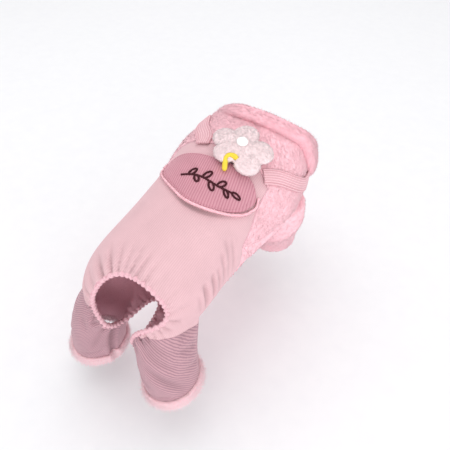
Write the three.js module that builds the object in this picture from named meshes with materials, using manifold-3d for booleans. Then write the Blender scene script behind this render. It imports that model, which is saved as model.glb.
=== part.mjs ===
import * as THREE from 'three'
import Module from 'manifold-3d'

// Dog jumpsuit, shown as worn. Millimetres, +X the wearer's right, +Y towards the head, +Z up.
// The origin is on the inner face of the back, over the spine.

// Driving sizes
const bodyLength = 250
const bodyWidth = 136
const bodyDepth = 124
const neckRise = 69
const cloth = 2
const pile = 1.5
const gap = 0.3
const seatAt = 0.446
const trunkEnd = 0.935
const trunkColumns = 48
const legColumns = 24
const sleeveColumns = 18
const legDrop = { right: 81, left: 101 }
const legFullness = { right: 1, left: 1.10 }
const sleeveDrop = 74
const cuffShare = 0.09
const pleats = 12
const pleatDepth = 1.1
const pocketWidth = 92
const pocketLength = 54
const pocketPadding = 1.2
const pipingRadius = 1.3
const bindingRadius = 2.1
const bindingScrunch = 0.35
const strapWidth = 14
const strapCloth = 1.8
const petalRadius = 12
const petalHeight = 4
const buttonRadius = 5.6
const buttonHeight = 4
const stemRadius = 2.8

// The trunk, a row for each hoop of the body from the rump to the neck.
// at is the place along the suit, along and rise its centre, wide, above and below its half sizes.
const trunkRows = [
  { at: 0.00, along: 0.000, rise: 0.000, wide: 0.088, above: 0.097, below: 0.097, lean: 0 },
  { at: 0.03, along: 0.008, rise: 0.000, wide: 0.382, above: 0.403, below: 0.387, lean: 0 },
  { at: 0.08, along: 0.040, rise: 0.000, wide: 0.618, above: 0.565, below: 0.532, lean: 0 },
  { at: 0.16, along: 0.104, rise: 0.014, wide: 0.765, above: 0.710, below: 0.565, lean: 0 },
  { at: 0.27, along: 0.216, rise: 0.043, wide: 0.838, above: 0.823, below: 0.532, lean: 0 },
  { at: 0.38, along: 0.344, rise: 0.101, wide: 0.840, above: 0.887, below: 0.520, lean: 0 },
  { at: 0.50, along: 0.488, rise: 0.159, wide: 0.865, above: 0.968, below: 0.540, lean: 2 },
  { at: 0.62, along: 0.624, rise: 0.217, wide: 0.925, above: 1.000, below: 0.640, lean: 6 },
  { at: 0.73, along: 0.744, rise: 0.333, wide: 1.000, above: 0.968, below: 0.760, lean: 16 },
  { at: 0.83, along: 0.856, rise: 0.536, wide: 0.956, above: 0.839, below: 0.800, lean: 30 },
  { at: 0.90, along: 0.924, rise: 0.696, wide: 0.868, above: 0.742, below: 0.774, lean: 38 },
  { at: 1.00, along: 0.996, rise: 0.913, wide: 0.735, above: 0.661, below: 0.677, lean: 43 },
]
// A hind leg, from inside the body down to the hem. aside and wide are shares of half the body width,
// forward and deep shares of the body length, down the share of the leg's drop.
const legRows = [
  { at: 0.00, aside: 0.382, forward: 0.168, down: 0.00, wide: 0.300, deep: 0.120 },
  { at: 0.25, aside: 0.505, forward: 0.128, down: 0.25, wide: 0.335, deep: 0.134 },
  { at: 0.50, aside: 0.595, forward: 0.088, down: 0.50, wide: 0.335, deep: 0.126 },
  { at: 0.75, aside: 0.665, forward: 0.066, down: 0.75, wide: 0.335, deep: 0.114 },
  { at: 1.00, aside: 0.720, forward: 0.060, down: 1.00, wide: 0.345, deep: 0.106 },
]
const sleeveRows = [
  { at: 0.00, aside: 0.600, forward: 0.800, down: 0.00, wide: 0.456, deep: 0.144 },
  { at: 0.35, aside: 0.600, forward: 0.836, down: 0.36, wide: 0.425, deep: 0.128 },
  { at: 0.70, aside: 0.530, forward: 0.868, down: 0.72, wide: 0.365, deep: 0.108 },
  { at: 1.00, aside: 0.500, forward: 0.886, down: 1.00, wide: 0.340, deep: 0.096 },
]
// Soft folds pressed into the legs: around in degrees from the front, tall as a share of the leg.
const legFolds = [
  { side: 'left', at: 0.70, around: -105, tall: 0.34, broad: 14, deep: 3.0 },
  { side: 'left', at: 0.82, around: 175, tall: 0.08, broad: 50, deep: 1.6 },
  { side: 'left', at: 0.55, around: 150, tall: 0.07, broad: 50, deep: 1.4 },
  { side: 'right', at: 0.45, around: 150, tall: 0.07, broad: 40, deep: 1.8 },
  { side: 'right', at: 0.62, around: 175, tall: 0.07, broad: 45, deep: 1.8 },
  { side: 'right', at: 0.80, around: 140, tall: 0.06, broad: 50, deep: 1.5 },
]
// Dents in the trunk: around in degrees from the spine towards the right.
const trunkFolds = [
  { at: 0.30, around: 96, tall: 0.030, broad: 16, deep: 1.8 },
  { at: 0.36, around: 90, tall: 0.022, broad: 14, deep: 1.4 },
  { at: 0.30, around: -96, tall: 0.030, broad: 16, deep: 1.8 },
  { at: 0.46, around: 84, tall: 0.020, broad: 18, deep: 1.1 },
  { at: 0.46, around: -84, tall: 0.020, broad: 18, deep: 1.1 },
]
// Seams as seen from the side: along from the rump end, up from the rump's centre, shares of the body length.
const seamRows = {
  shoulder: [[0.668, 0.70], [0.672, 0.280], [0.652, 0.228], [0.604, 0.204], [0.568, 0.184], [0.512, 0.136], [0.460, 0.100]],
  belly: [[0.460, 0.100], [0.356, 0.020], [0.224, -0.068]],
  thigh: [[0.224, -0.068], [0.136, -0.020], [-0.184, 0.060]],
  groin: [[0.224, -0.068], [0.244, -0.116], [0.244, -0.400]],
  chest: [[0.460, 0.100], [0.528, -0.028], [0.568, -0.164], [0.568, -0.400]],
  side: [[0.460, 0.100], [0.568, 0.056], [0.936, 0.056], [1.256, 0.130]],
  armhole: [[0.568, -0.164], [0.616, -0.164], [0.816, -0.126], [1.016, -0.020], [1.256, 0.100]],
}
// Edge of the open rump: across a share of half the body width, along and up shares of the body length.
const rumpRows = [
  { across: 0.206, along: 0.094, up: 0.176 },
  { across: 0.412, along: 0.098, up: 0.152 },
  { across: 0.544, along: 0.098, up: 0.132 },
  { across: 0.647, along: 0.096, up: 0.100 },
  { across: 0.676, along: 0.088, up: 0.060 },
  { across: 0.588, along: 0.040, up: 0.040 },
  { across: 0.441, along: 0.016, up: 0.024 },
  { across: 0.294, along: 0.024, up: -0.024 },
  { across: 0.206, along: 0.044, up: -0.080 },
  { across: 0.184, along: 0.096, up: -0.124 },
  { across: 0.162, along: 0.160, up: -0.128 },
  { across: 0.103, along: 0.216, up: -0.124 },
  { across: 0.015, along: 0.240, up: -0.122 },
  { across: -0.074, along: 0.216, up: -0.124 },
  { across: -0.132, along: 0.160, up: -0.128 },
  { across: -0.147, along: 0.096, up: -0.124 },
  { across: -0.176, along: 0.044, up: -0.092 },
  { across: -0.235, along: 0.020, up: -0.044 },
  { across: -0.309, along: 0.020, up: 0.016 },
  { across: -0.294, along: 0.016, up: 0.060 },
  { across: -0.243, along: 0.020, up: 0.108 },
  { across: -0.206, along: 0.048, up: 0.140 },
  { across: -0.059, along: 0.084, up: 0.164 },
]
const rumpHeart = { across: 0.044, along: 0.176, up: 0.012 }
// Pocket outline seen from above, shares of half its width and half its length.
const pocketRows = [
  { across: -0.87, along: 0.75 }, { across: -0.52, along: 0.86 }, { across: -0.13, along: 0.92 },
  { across: 0.25, along: 1.00 }, { across: 0.59, along: 1.04 }, { across: 0.81, along: 0.96 },
  { across: 0.94, along: 0.72 }, { across: 0.93, along: 0.36 }, { across: 0.85, along: -0.08 },
  { across: 0.65, along: -0.55 }, { across: 0.36, along: -0.90 }, { across: 0.04, along: -0.98 },
  { across: -0.30, along: -0.80 }, { across: -0.63, along: -0.52 }, { across: -0.90, along: -0.16 },
  { across: -1.01, along: 0.24 }, { across: -0.99, along: 0.56 },
]
const pocketCentre = { across: 0.088, along: 0.508 }
// Shoulder straps from the bib edge round to the chest: at along the suit, angles from the spine.
const strapRows = [
  { at: 0.692, right: 41, left: -16 },
  { at: 0.755, right: 56, left: -20 },
  { at: 0.833, right: 93, left: -38 },
  { at: 0.870, right: 102, left: -48 },
  { at: 0.895, right: 107, left: -58 },
]
const flowerCentre = { across: 0.257, along: 0.686 }
// Petals: around in degrees from the right, reach from the flower's middle in millimetres.
const petalRows = [
  { around: 20, reach: 17.4 },
  { around: 105, reach: 15.6 },
  { around: 177, reach: 18.4 },
  { around: 240, reach: 15.4 },
  { around: 318, reach: 17.4 },
]
// Stem path over the pocket, hooking onto the petals.
const stemRows = [
  { across: 0.273, along: 0.566, lift: 6.5 },
  { across: 0.226, along: 0.592, lift: 7.6 },
  { across: 0.203, along: 0.609, lift: 9.4 },
  { across: 0.228, along: 0.623, lift: 10.4 },
  { across: 0.281, along: 0.628, lift: 10.6 },
  { across: 0.325, along: 0.625, lift: 10.2 },
]

const wasm = await Module()
wasm.setup()
const halfWidth = bodyWidth / 2
const farOut = 3 * halfWidth
const halfDepth = bodyDepth / 2
const toRadians = Math.PI / 180

// Smooth curve through the rows of a table, column by column
function smoothColumn(rows, column) {
  const at = rows.map((row) => row.at)
  const value = rows.map((row) => row[column])
  const last = rows.length - 1
  const bend = new Array(last + 1).fill(0)
  const carry = new Array(last + 1).fill(0)
  for (let i = 1; i < last; i++) {
    const before = at[i] - at[i - 1]
    const after = at[i + 1] - at[i]
    const pull = 6 * ((value[i + 1] - value[i]) / after - (value[i] - value[i - 1]) / before)
    const pivot = 2 * (before + after) - before * carry[i - 1]
    carry[i] = after / pivot
    bend[i] = (pull - before * bend[i - 1]) / pivot
  }
  for (let i = last - 1; i > 0; i--) bend[i] -= carry[i] * bend[i + 1]
  return (share) => {
    let i = 0
    while (i < last - 1 && share > at[i + 1]) i++
    const step = at[i + 1] - at[i]
    const a = (at[i + 1] - share) / step
    const b = (share - at[i]) / step
    const curve = ((a * a * a - a) * bend[i] + (b * b * b - b) * bend[i + 1]) * step * step / 6
    const line = a * value[i] + b * value[i + 1]
    return a < 0 || b < 0 ? line : line + curve
  }
}
function smoothTable(rows) {
  const columns = Object.keys(rows[0]).filter((name) => name !== 'at')
  const curves = columns.map((name) => [name, smoothColumn(rows, name)])
  return (share) => Object.fromEntries(curves.map(([name, curve]) => [name, curve(share)]))
}
const trunkAt = smoothTable(trunkRows)
const legAt = smoothTable(legRows)
const sleeveAt = smoothTable(sleeveRows)
const strapAt = smoothTable(strapRows)

function fade(value, from, to) {
  const t = Math.min(1, Math.max(0, (value - from) / (to - from)))
  return t * t * (3 - 2 * t)
}
function turnBetween(a, b) {
  return Math.abs(((a - b + 540) % 360) - 180)
}
function foldDepth(folds, share, degrees) {
  let depth = 0
  for (const fold of folds) {
    const down = (share - fold.at) / fold.tall
    const round = turnBetween(degrees, fold.around) / fold.broad
    depth += fold.deep * Math.exp(-down * down - round * round)
  }
  return depth
}
function roundedPower(value, power) {
  return Math.sign(value) * Math.abs(value) ** power
}

// Trunk surface, before the origin is moved to the back
function trunkSkin(share, angle) {
  const row = trunkAt(share)
  const degrees = angle / toRadians
  const pleat = pleatDepth * Math.cos(pleats * angle) * (1 - fade(share, 0.15, 0.34))
  const press = -pleat * fade(share, 0.04, 0.1) + foldDepth(trunkFolds, share, degrees)
  const side = row.wide * halfWidth - press
  const tall = (Math.cos(angle) > 0 ? row.above : row.below) * halfDepth - press
  const lift = tall * roundedPower(Math.cos(angle), 0.92)
  const lean = row.lean * toRadians
  return new THREE.Vector3(
    side * roundedPower(Math.sin(angle), 0.92),
    row.along * bodyLength - lift * Math.sin(lean),
    row.rise * neckRise + lift * Math.cos(lean))
}
const seat = trunkSkin(seatAt, 0)
seat.z -= cloth
function place(across, along, up) {
  return new THREE.Vector3(across * halfWidth, along * bodyLength - seat.y, up * bodyLength - seat.z)
}
function trunkNormal(share, angle) {
  const along = trunkSkin(share + 0.004, angle).sub(trunkSkin(Math.max(0, share - 0.004), angle))
  const round = trunkSkin(share, angle + 0.04).sub(trunkSkin(share, angle - 0.04))
  return round.cross(along).normalize()
}
function trunkPoint(share, angle, grow = 0) {
  const point = trunkSkin(share, angle)
  point.y -= seat.y
  point.z -= seat.z
  return point.addScaledVector(trunkNormal(share, angle), grow)
}

const legTop = 0.055 * bodyLength
const sleeveTop = 0.044 * bodyLength
function legPoint(side, share, angle, grow = 0) {
  const row = legAt(share)
  const press = foldDepth(legFolds.filter((fold) => fold.side === side), share, angle / toRadians)
  const wide = row.wide * halfWidth * (share > 0.3 ? legFullness[side] : 1) + grow - press
  const deep = row.deep * bodyLength + grow - press
  const hand = side === 'right' ? 1 : -1
  return new THREE.Vector3(
    hand * (row.aside * halfWidth + wide * Math.sin(angle)),
    row.forward * bodyLength - seat.y + deep * Math.cos(angle),
    legTop - row.down * legDrop[side] - seat.z)
}
function sleevePoint(side, share, angle, grow = 0) {
  const row = sleeveAt(share)
  const hand = side === 'right' ? 1 : -1
  return new THREE.Vector3(
    hand * (row.aside * halfWidth + (row.wide * halfWidth + grow) * Math.sin(angle)),
    row.forward * bodyLength - seat.y + (row.deep * bodyLength + grow) * Math.cos(angle),
    sleeveTop - row.down * sleeveDrop - seat.z)
}

// Solids from points and triangles, turned outward
function solidOf(points, triangles) {
  let volume = 0
  for (const [a, b, c] of triangles) volume += points[a].dot(points[b].clone().cross(points[c]))
  const ordered = volume < 0 ? triangles.map(([a, b, c]) => [a, c, b]) : triangles
  return new wasm.Manifold(new wasm.Mesh({
    numProp: 3,
    vertProperties: new Float32Array(points.flatMap((p) => [p.x, p.y, p.z])),
    triVerts: new Uint32Array(ordered.flat()),
  }))
}
function tube(rings) {
  const count = rings[0].length
  const points = rings.flat()
  const triangles = []
  for (let i = 0; i + 1 < rings.length; i++) {
    for (let j = 0; j < count; j++) {
      const k = (j + 1) % count
      triangles.push([i * count + j, i * count + k, (i + 1) * count + k])
      triangles.push([i * count + j, (i + 1) * count + k, (i + 1) * count + j])
    }
  }
  for (const end of [0, rings.length - 1]) {
    const centre = rings[end].reduce((sum, p) => sum.add(p), new THREE.Vector3()).divideScalar(count)
    points.push(centre)
    for (let j = 0; j < count; j++) {
      const edge = [end * count + j, end * count + (j + 1) % count]
      triangles.push(end ? [edge[0], edge[1], points.length - 1] : [edge[1], edge[0], points.length - 1])
    }
  }
  return solidOf(points, triangles)
}
function hoop(around, across, pointAt) {
  const points = []
  const triangles = []
  for (let i = 0; i < around; i++) {
    for (let j = 0; j < across; j++) {
      points.push(pointAt(i / around, j / across))
      const next = ((i + 1) % around) * across
      const side = (j + 1) % across
      triangles.push([i * across + j, next + j, next + side], [i * across + j, next + side, i * across + side])
    }
  }
  return solidOf(points, triangles)
}
function shares(from, to, count) {
  return Array.from({ length: count }, (_, i) => from + (to - from) * i / (count - 1))
}
function ring(count, pointAt) {
  return Array.from({ length: count }, (_, i) => pointAt(2 * Math.PI * i / count))
}
// A flat outline seen from the side, drawn out across the body
function sideSlab(outline, low = -farOut, high = farOut) {
  const shape = outline.map(([along, up]) => new THREE.Vector2(along, up))
  if (THREE.ShapeUtils.isClockWise(shape)) shape.reverse()
  const faces = THREE.ShapeUtils.triangulateShape(shape, [])
  const count = shape.length
  const points = [low, high].flatMap((x) => shape.map((p) => {
    const spot = place(0, p.x, p.y)
    spot.x = x
    return spot
  }))
  const triangles = faces.flatMap(([a, b, c]) => [[a, b, c], [a + count, c + count, b + count]])
  for (let i = 0; i < count; i++) {
    const k = (i + 1) % count
    triangles.push([i, i + count, k + count], [i, k + count, k])
  }
  return solidOf(points, triangles)
}
// A thin blade along a seam, which leaves the gap between two panels
function seamBlade(line) {
  const half = gap / 2 / bodyLength
  const over = [], under = []
  line.forEach((spot, i) => {
    const before = line[Math.max(0, i - 1)]
    const after = line[Math.min(line.length - 1, i + 1)]
    const turn = (a, b) => {
      const length = Math.hypot(b[0] - a[0], b[1] - a[1]) || 1
      return [-(b[1] - a[1]) / length, (b[0] - a[0]) / length]
    }
    const first = turn(i ? before : spot, i ? spot : after)
    const second = turn(i < line.length - 1 ? spot : before, i < line.length - 1 ? after : spot)
    const middle = [first[0] + second[0], first[1] + second[1]]
    const scale = 2 / (middle[0] ** 2 + middle[1] ** 2)
    over.push([spot[0] + middle[0] * scale * half, spot[1] + middle[1] * scale * half])
    under.push([spot[0] - middle[0] * scale * half, spot[1] - middle[1] * scale * half])
  })
  return sideSlab([...over, ...under.reverse()])
}

// Hollow cloth of trunk, legs and sleeves
const trunkStops = [0, 0.03, 0.07, 0.12, 0.18, 0.25, 0.32, 0.41, 0.51, 0.61, 0.7, 0.78, 0.855, trunkEnd]
// The hollow inside has half the columns of the outside and runs out past every hem
function wholeBody(grow, through) {
  const detail = through ? 0.5 : 1
  const reach = through ? [1.03] : []
  const trunk = tube([...trunkStops, ...reach].map((at) =>
    ring(trunkColumns * detail, (angle) => trunkPoint(at, angle, grow))))
  let body = trunk
  for (const side of ['right', 'left']) {
    const legStops = [...shares(0, 1 - cuffShare, 8), ...(through ? [1.12] : [])]
    const sleeveStops = [...shares(0, 1, 5), ...(through ? [1.12] : [])]
    body = body.add(tube(legStops.map((at) => ring(legColumns * detail, (angle) => legPoint(side, at, angle, grow)))))
    body = body.add(tube(sleeveStops.map((at) => ring(sleeveColumns * detail, (angle) => sleevePoint(side, at, angle, grow)))))
  }
  return body
}
const hollow = wholeBody(-cloth, true)
const skin = wholeBody(0, false)
let cordShell = skin.subtract(hollow)
let plushShell = wholeBody(pile, false).subtract(hollow)

// The rump edge is drawn out from the middle of the body onto the cloth
function meshOfSolid(solid) {
  const mesh = solid.getMesh()
  const geometry = new THREE.BufferGeometry()
  geometry.setAttribute('position', new THREE.BufferAttribute(new Float32Array(mesh.vertProperties), 3))
  geometry.setIndex(new THREE.BufferAttribute(new Uint32Array(mesh.triVerts), 1))
  geometry.computeVertexNormals()
  return geometry
}
const heart = place(rumpHeart.across, rumpHeart.along, rumpHeart.up)
const skinMesh = new THREE.Mesh(meshOfSolid(skin), new THREE.MeshStandardMaterial({ side: THREE.DoubleSide }))
const caster = new THREE.Raycaster()
const guide = new THREE.CatmullRomCurve3(rumpRows.map((row) => place(row.across, row.along, row.up)), true)
let rumpEdge = guide.getSpacedPoints(48).slice(0, 48).map((spot) => {
  const way = spot.clone().sub(heart).normalize()
  caster.set(heart, way)
  const hits = caster.intersectObject(skinMesh)
  return hits[0].point.clone().addScaledVector(way, -cloth / 2)
})
for (let pass = 0; pass < 2; pass++) {
  rumpEdge = rumpEdge.map((spot, i) => {
    const before = rumpEdge[(i + 47) % 48]
    const after = rumpEdge[(i + 1) % 48]
    return spot.clone().multiplyScalar(0.5).addScaledVector(before, 0.25).addScaledVector(after, 0.25)
  })
}
const rumpLine = new THREE.CatmullRomCurve3(rumpEdge, true)
function bindingPoint(share, turn, radius) {
  const centre = rumpLine.getPointAt(share)
  const ahead = rumpLine.getTangentAt(share)
  const out = centre.clone().sub(heart).normalize()
  const across = out.clone().cross(ahead).normalize()
  const up = ahead.clone().cross(across).normalize()
  const angle = 2 * Math.PI * turn
  return centre.addScaledVector(across, radius * Math.cos(angle)).addScaledVector(up, radius * Math.sin(angle))
}
const binding = hoop(72, 6, (share, turn) =>
  bindingPoint(share, turn, bindingRadius + bindingScrunch * Math.cos(2 * Math.PI * 18 * share)))
const bindingRoom = hoop(72, 6, (share, turn) =>
  bindingPoint(share, turn, bindingRadius + bindingScrunch + gap))
const mouthPoints = rumpEdge.map((spot) => spot.clone().sub(heart).multiplyScalar(1.2).add(heart))
const mouthBack = place(rumpHeart.across, -1.2, -0.9)
const mouthTriangles = mouthPoints.flatMap((_, i) => {
  const next = (i + 1) % mouthPoints.length
  return [[i, next, mouthPoints.length], [next, i, mouthPoints.length + 1]]
})
const mouth = solidOf([...mouthPoints, heart, mouthBack], mouthTriangles)

let blades = null
for (const name of Object.keys(seamRows)) {
  const blade = seamBlade(seamRows[name])
  blades = blades ? blades.add(blade) : blade
}
cordShell = cordShell.subtract(mouth).subtract(bindingRoom).subtract(blades)
plushShell = plushShell.subtract(mouth).subtract(bindingRoom).subtract(blades)

const legSplit = 0.0735 * halfWidth
const { shoulder, belly, thigh, groin, chest, side: sideSeam, armhole } = seamRows
const backRegion = sideSlab([...shoulder, ...belly.slice(1), ...thigh.slice(1), [-0.4, 0.06], [-0.4, 0.7]])
const legRegion = [...thigh.slice().reverse(), ...groin.slice(1), [-0.4, -0.4], [-0.4, 0.06]]
const bellyRegion = sideSlab([...belly.slice().reverse(), ...chest.slice(1), ...groin.slice(1).reverse()])
const yokeRegion = sideSlab([...shoulder, ...sideSeam.slice(1), [1.256, 0.7]])
const chestRegion = sideSlab([...sideSeam.slice().reverse(), ...chest.slice(1, 3), ...armhole.slice(1)])
const sleeveRegion = [...armhole, [1.256, -0.4], chest[3]]

// A sewn-on patch: its outline seen from above is laid on the back
function onBack(x, y) {
  let share = (y + seat.y) / bodyLength * 0.86 + 0.06
  let angle = Math.asin(Math.max(-0.95, Math.min(0.95, x / 66)))
  for (let turn = 0; turn < 20; turn++) {
    const here = trunkPoint(share, angle)
    const along = trunkPoint(share + 0.002, angle).sub(here).divideScalar(0.002)
    const round = trunkPoint(share, angle + 0.01).sub(here).divideScalar(0.01)
    const errorX = x - here.x
    const errorY = y - here.y
    const scale = along.x * round.y - along.y * round.x
    share += (errorX * round.y - errorY * round.x) / scale
    angle += (along.x * errorY - along.y * errorX) / scale
  }
  return { share, angle, normal: trunkNormal(share, angle) }
}
function backPoint(across, along, lift) {
  const spot = place(across, along, 0)
  const { share, angle } = onBack(spot.x, spot.y)
  return trunkPoint(share, angle, lift)
}
const pocketShape = new THREE.CatmullRomCurve3(pocketRows.map((row) => new THREE.Vector3(
  pocketCentre.across * halfWidth + row.across * pocketWidth / 2,
  pocketCentre.along * bodyLength + row.along * pocketLength / 2, 0)), true)
const pocketEdge = pocketShape.getSpacedPoints(36).slice(0, 36)
const pocketMiddle = new THREE.Vector3(pocketCentre.across * halfWidth, pocketCentre.along * bodyLength, 0)
function pocketSpot(index, share, lift) {
  const spot = pocketMiddle.clone().lerp(pocketEdge[index % 36], share)
  return backPoint(spot.x / halfWidth, spot.y / bodyLength, lift)
}
const pocketShares = [0.25, 0.5, 0.75, 0.93, 1]
const pocketLift = gap + 0.2
function pocketSolid() {
  const top = pocketShares.map((share) => pocketEdge.map((_, i) =>
    pocketSpot(i, share, pocketLift + cloth * (share > 0.98 ? 0.6 : 1) + pocketPadding * (1 - share * share))))
  const bottom = pocketShares.map((share) => pocketEdge.map((_, i) => pocketSpot(i, share, pocketLift)))
  return tube([...bottom, ...top.reverse()])
}

// Piping lies just outside the lower edge of the pocket
const pipingFrom = 13
const pipingCount = 21
function pipingSolid() {
  const rings = []
  for (let i = 0; i <= pipingCount; i++) {
    const index = pipingFrom + i
    const out = 1 + (pipingRadius + 0.55) / 36
    const lift = pocketLift + pipingRadius
    const spot = pocketSpot(index, out, lift)
    const ahead = pocketSpot(index + 1, out, lift).sub(pocketSpot(index + 35, out, lift)).normalize()
    const up = pocketSpot(index, out, lift + 1).sub(spot).normalize()
    const side = ahead.clone().cross(up)
    rings.push(ring(6, (angle) => spot.clone()
      .addScaledVector(up, pipingRadius * Math.cos(angle)).addScaledVector(side, pipingRadius * Math.sin(angle))))
  }
  return tube(rings)
}

function strapSolid(side) {
  const lift = pile + gap + 0.1
  const rings = shares(strapRows[0].at, strapRows[strapRows.length - 1].at, 12).map((at) => {
    const angle = strapAt(at)[side] * toRadians
    const nextAngle = strapAt(at + 0.004)[side] * toRadians
    const ahead = trunkPoint(at + 0.004, nextAngle).sub(trunkPoint(at, angle)).normalize()
    const normal = trunkNormal(at, angle)
    const across = ahead.clone().cross(normal).normalize()
    const along = trunkPoint(at + 0.002, angle).sub(trunkPoint(at, angle)).divideScalar(0.002)
    const round = trunkPoint(at, angle + 0.01).sub(trunkPoint(at, angle)).divideScalar(0.01)
    const spotAt = (offset, height) => {
      const a = along.dot(along), b = along.dot(round), c = round.dot(round)
      const p = across.dot(along) * offset, q = across.dot(round) * offset
      const scale = a * c - b * b
      return trunkPoint(at + (p * c - q * b) / scale, angle + (a * q - b * p) / scale, height)
    }
    const half = strapWidth / 2
    const offsets = [-half, -half / 3, half / 3, half]
    return [...offsets.map((offset) => spotAt(offset, lift)),
      ...offsets.reverse().map((offset) => spotAt(offset, lift + strapCloth))]
  })
  return tube(rings)
}

function puff(centre, up, radius, height, columns, rows) {
  const side = new THREE.Vector3(0, 1, 0).cross(up).normalize()
  const ahead = up.clone().cross(side)
  const rings = shares(0.12, 0.88, rows).map((share) => {
    const tilt = Math.PI * share
    return ring(columns, (angle) => centre.clone()
      .addScaledVector(side, radius * Math.sin(tilt) * Math.cos(angle))
      .addScaledVector(ahead, radius * Math.sin(tilt) * Math.sin(angle))
      .addScaledVector(up, -height * Math.cos(tilt)))
  })
  return tube(rings)
}
const flowerX = flowerCentre.across * halfWidth
const flowerY = flowerCentre.along * bodyLength
const flowerLift = pile + strapCloth + gap * 2 + 0.3
function flowerSpot(reach, degrees, lift) {
  const x = flowerX + reach * Math.cos(degrees * toRadians)
  const y = flowerY + reach * Math.sin(degrees * toRadians)
  return backPoint(x / halfWidth, y / bodyLength, lift)
}
function flowerSolid() {
  let solid = puff(flowerSpot(0, 0, flowerLift + petalHeight), flowerUp, petalRadius, petalHeight, 10, 4)
  for (const { around, reach } of petalRows) {
    const centre = flowerSpot(reach, around, flowerLift + petalHeight)
    const up = flowerSpot(reach, around, 1).sub(flowerSpot(reach, around, 0))
    solid = solid.add(puff(centre, up, petalRadius, petalHeight, 10, 4))
  }
  return solid
}
const flowerUp = flowerSpot(0, 0, 1).sub(flowerSpot(0, 0, 0))
function buttonSolid() {
  const base = flowerSpot(0, 0, flowerLift + petalHeight * 2 + gap)
  const side = new THREE.Vector3(0, 1, 0).cross(flowerUp).normalize()
  const ahead = flowerUp.clone().cross(side)
  const profile = [[0.8, 0], [1, 0.25], [1, 0.6], [0.75, 0.95]]
  return tube(profile.map(([wide, tall]) => ring(14, (angle) => base.clone()
    .addScaledVector(side, buttonRadius * wide * Math.cos(angle))
    .addScaledVector(ahead, buttonRadius * wide * Math.sin(angle))
    .addScaledVector(flowerUp, buttonHeight * tall))))
}
function stemSolid(radius) {
  const line = new THREE.CatmullRomCurve3(stemRows.map((row) => backPoint(row.across, row.along, row.lift)))
  const rings = shares(0, 1, 12).map((share) => {
    const spot = line.getPointAt(share)
    const ahead = line.getTangentAt(share)
    const side = ahead.clone().cross(flowerUp).normalize()
    const up = side.clone().cross(ahead)
    return ring(8, (angle) => spot.clone()
      .addScaledVector(side, radius * Math.cos(angle)).addScaledVector(up, radius * Math.sin(angle)))
  })
  return tube(rings)
}

// Rolled plush at the neck and the trouser hems
const collarHalf = 0.035
const collarMiddle = trunkEnd + 0.001 + collarHalf
const collar = hoop(trunkColumns, 8, (share, turn) => {
  const angle = 2 * Math.PI * turn
  const at = collarMiddle - collarHalf * roundedPower(Math.cos(angle), 0.8)
  return trunkPoint(at, 2 * Math.PI * share, 2.4 + 4.8 * roundedPower(Math.sin(angle), 0.8))
})
function cuffSolid(side) {
  const start = 1 - cuffShare + gap / legDrop[side]
  const half = (1.02 - start) / 2
  return hoop(legColumns, 6, (share, turn) => {
    const angle = 2 * Math.PI * turn
    const at = start + half + half * roundedPower(Math.cos(angle), 0.8)
    return legPoint(side, at, 2 * Math.PI * share, 0.4 + 2.4 * roundedPower(Math.sin(angle), 0.8))
  })
}

const cordPink = new THREE.MeshStandardMaterial({ color: 0xf0c6cf, roughness: 0.95, metalness: 0 })
const legPink = new THREE.MeshStandardMaterial({ color: 0xdba9b5, roughness: 0.95, metalness: 0 })
const pocketRose = new THREE.MeshStandardMaterial({ color: 0xdf9fab, roughness: 0.95, metalness: 0 })
const plushPink = new THREE.MeshStandardMaterial({ color: 0xfccfd9, roughness: 1, metalness: 0 })
const palePlush = new THREE.MeshStandardMaterial({ color: 0xfde2e3, roughness: 1, metalness: 0 })
const bindingPink = new THREE.MeshStandardMaterial({ color: 0xf1bfc9, roughness: 0.9, metalness: 0 })
const buttonWhite = new THREE.MeshStandardMaterial({ color: 0xfafdfa, roughness: 0.5, metalness: 0 })
const stemYellow = new THREE.MeshStandardMaterial({ color: 0xf5d94a, roughness: 0.9, metalness: 0 })

const group = new THREE.Group()
function addPiece(name, solid, material) {
  const mesh = new THREE.Mesh(meshOfSolid(solid), material)
  mesh.name = name
  group.add(mesh)
}
addPiece('back_panel', cordShell.intersect(backRegion), cordPink)
addPiece('belly_panel', cordShell.intersect(bellyRegion), plushPink)
addPiece('hind_leg_right', cordShell.intersect(sideSlab(legRegion, legSplit, farOut)), legPink)
addPiece('hind_leg_left', cordShell.intersect(sideSlab(legRegion, -farOut, legSplit)), legPink)
addPiece('plush_yoke', plushShell.intersect(yokeRegion), plushPink)
addPiece('plush_chest', plushShell.intersect(chestRegion), plushPink)
addPiece('front_sleeve_right', plushShell.intersect(sideSlab(sleeveRegion, 0, farOut)), plushPink)
addPiece('front_sleeve_left', plushShell.intersect(sideSlab(sleeveRegion, -farOut, 0)), plushPink)
addPiece('rump_binding', binding, bindingPink)
addPiece('collar', collar, plushPink)
for (const side of ['right', 'left']) {
  addPiece('hind_cuff_' + side, cuffSolid(side), plushPink)
  addPiece('strap_' + side, strapSolid(side), cordPink)
}
addPiece('pocket_panel', pocketSolid(), pocketRose)
addPiece('pocket_piping', pipingSolid(), plushPink)
addPiece('flower', flowerSolid().subtract(stemSolid(stemRadius + gap)), palePlush)
addPiece('flower_button', buttonSolid(), buttonWhite)
addPiece('flower_stem', stemSolid(stemRadius), stemYellow)

export default group
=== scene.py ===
import math

import bmesh
import bpy
import numpy as np
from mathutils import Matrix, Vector, noise
from mathutils.bvhtree import BVHTree


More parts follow.
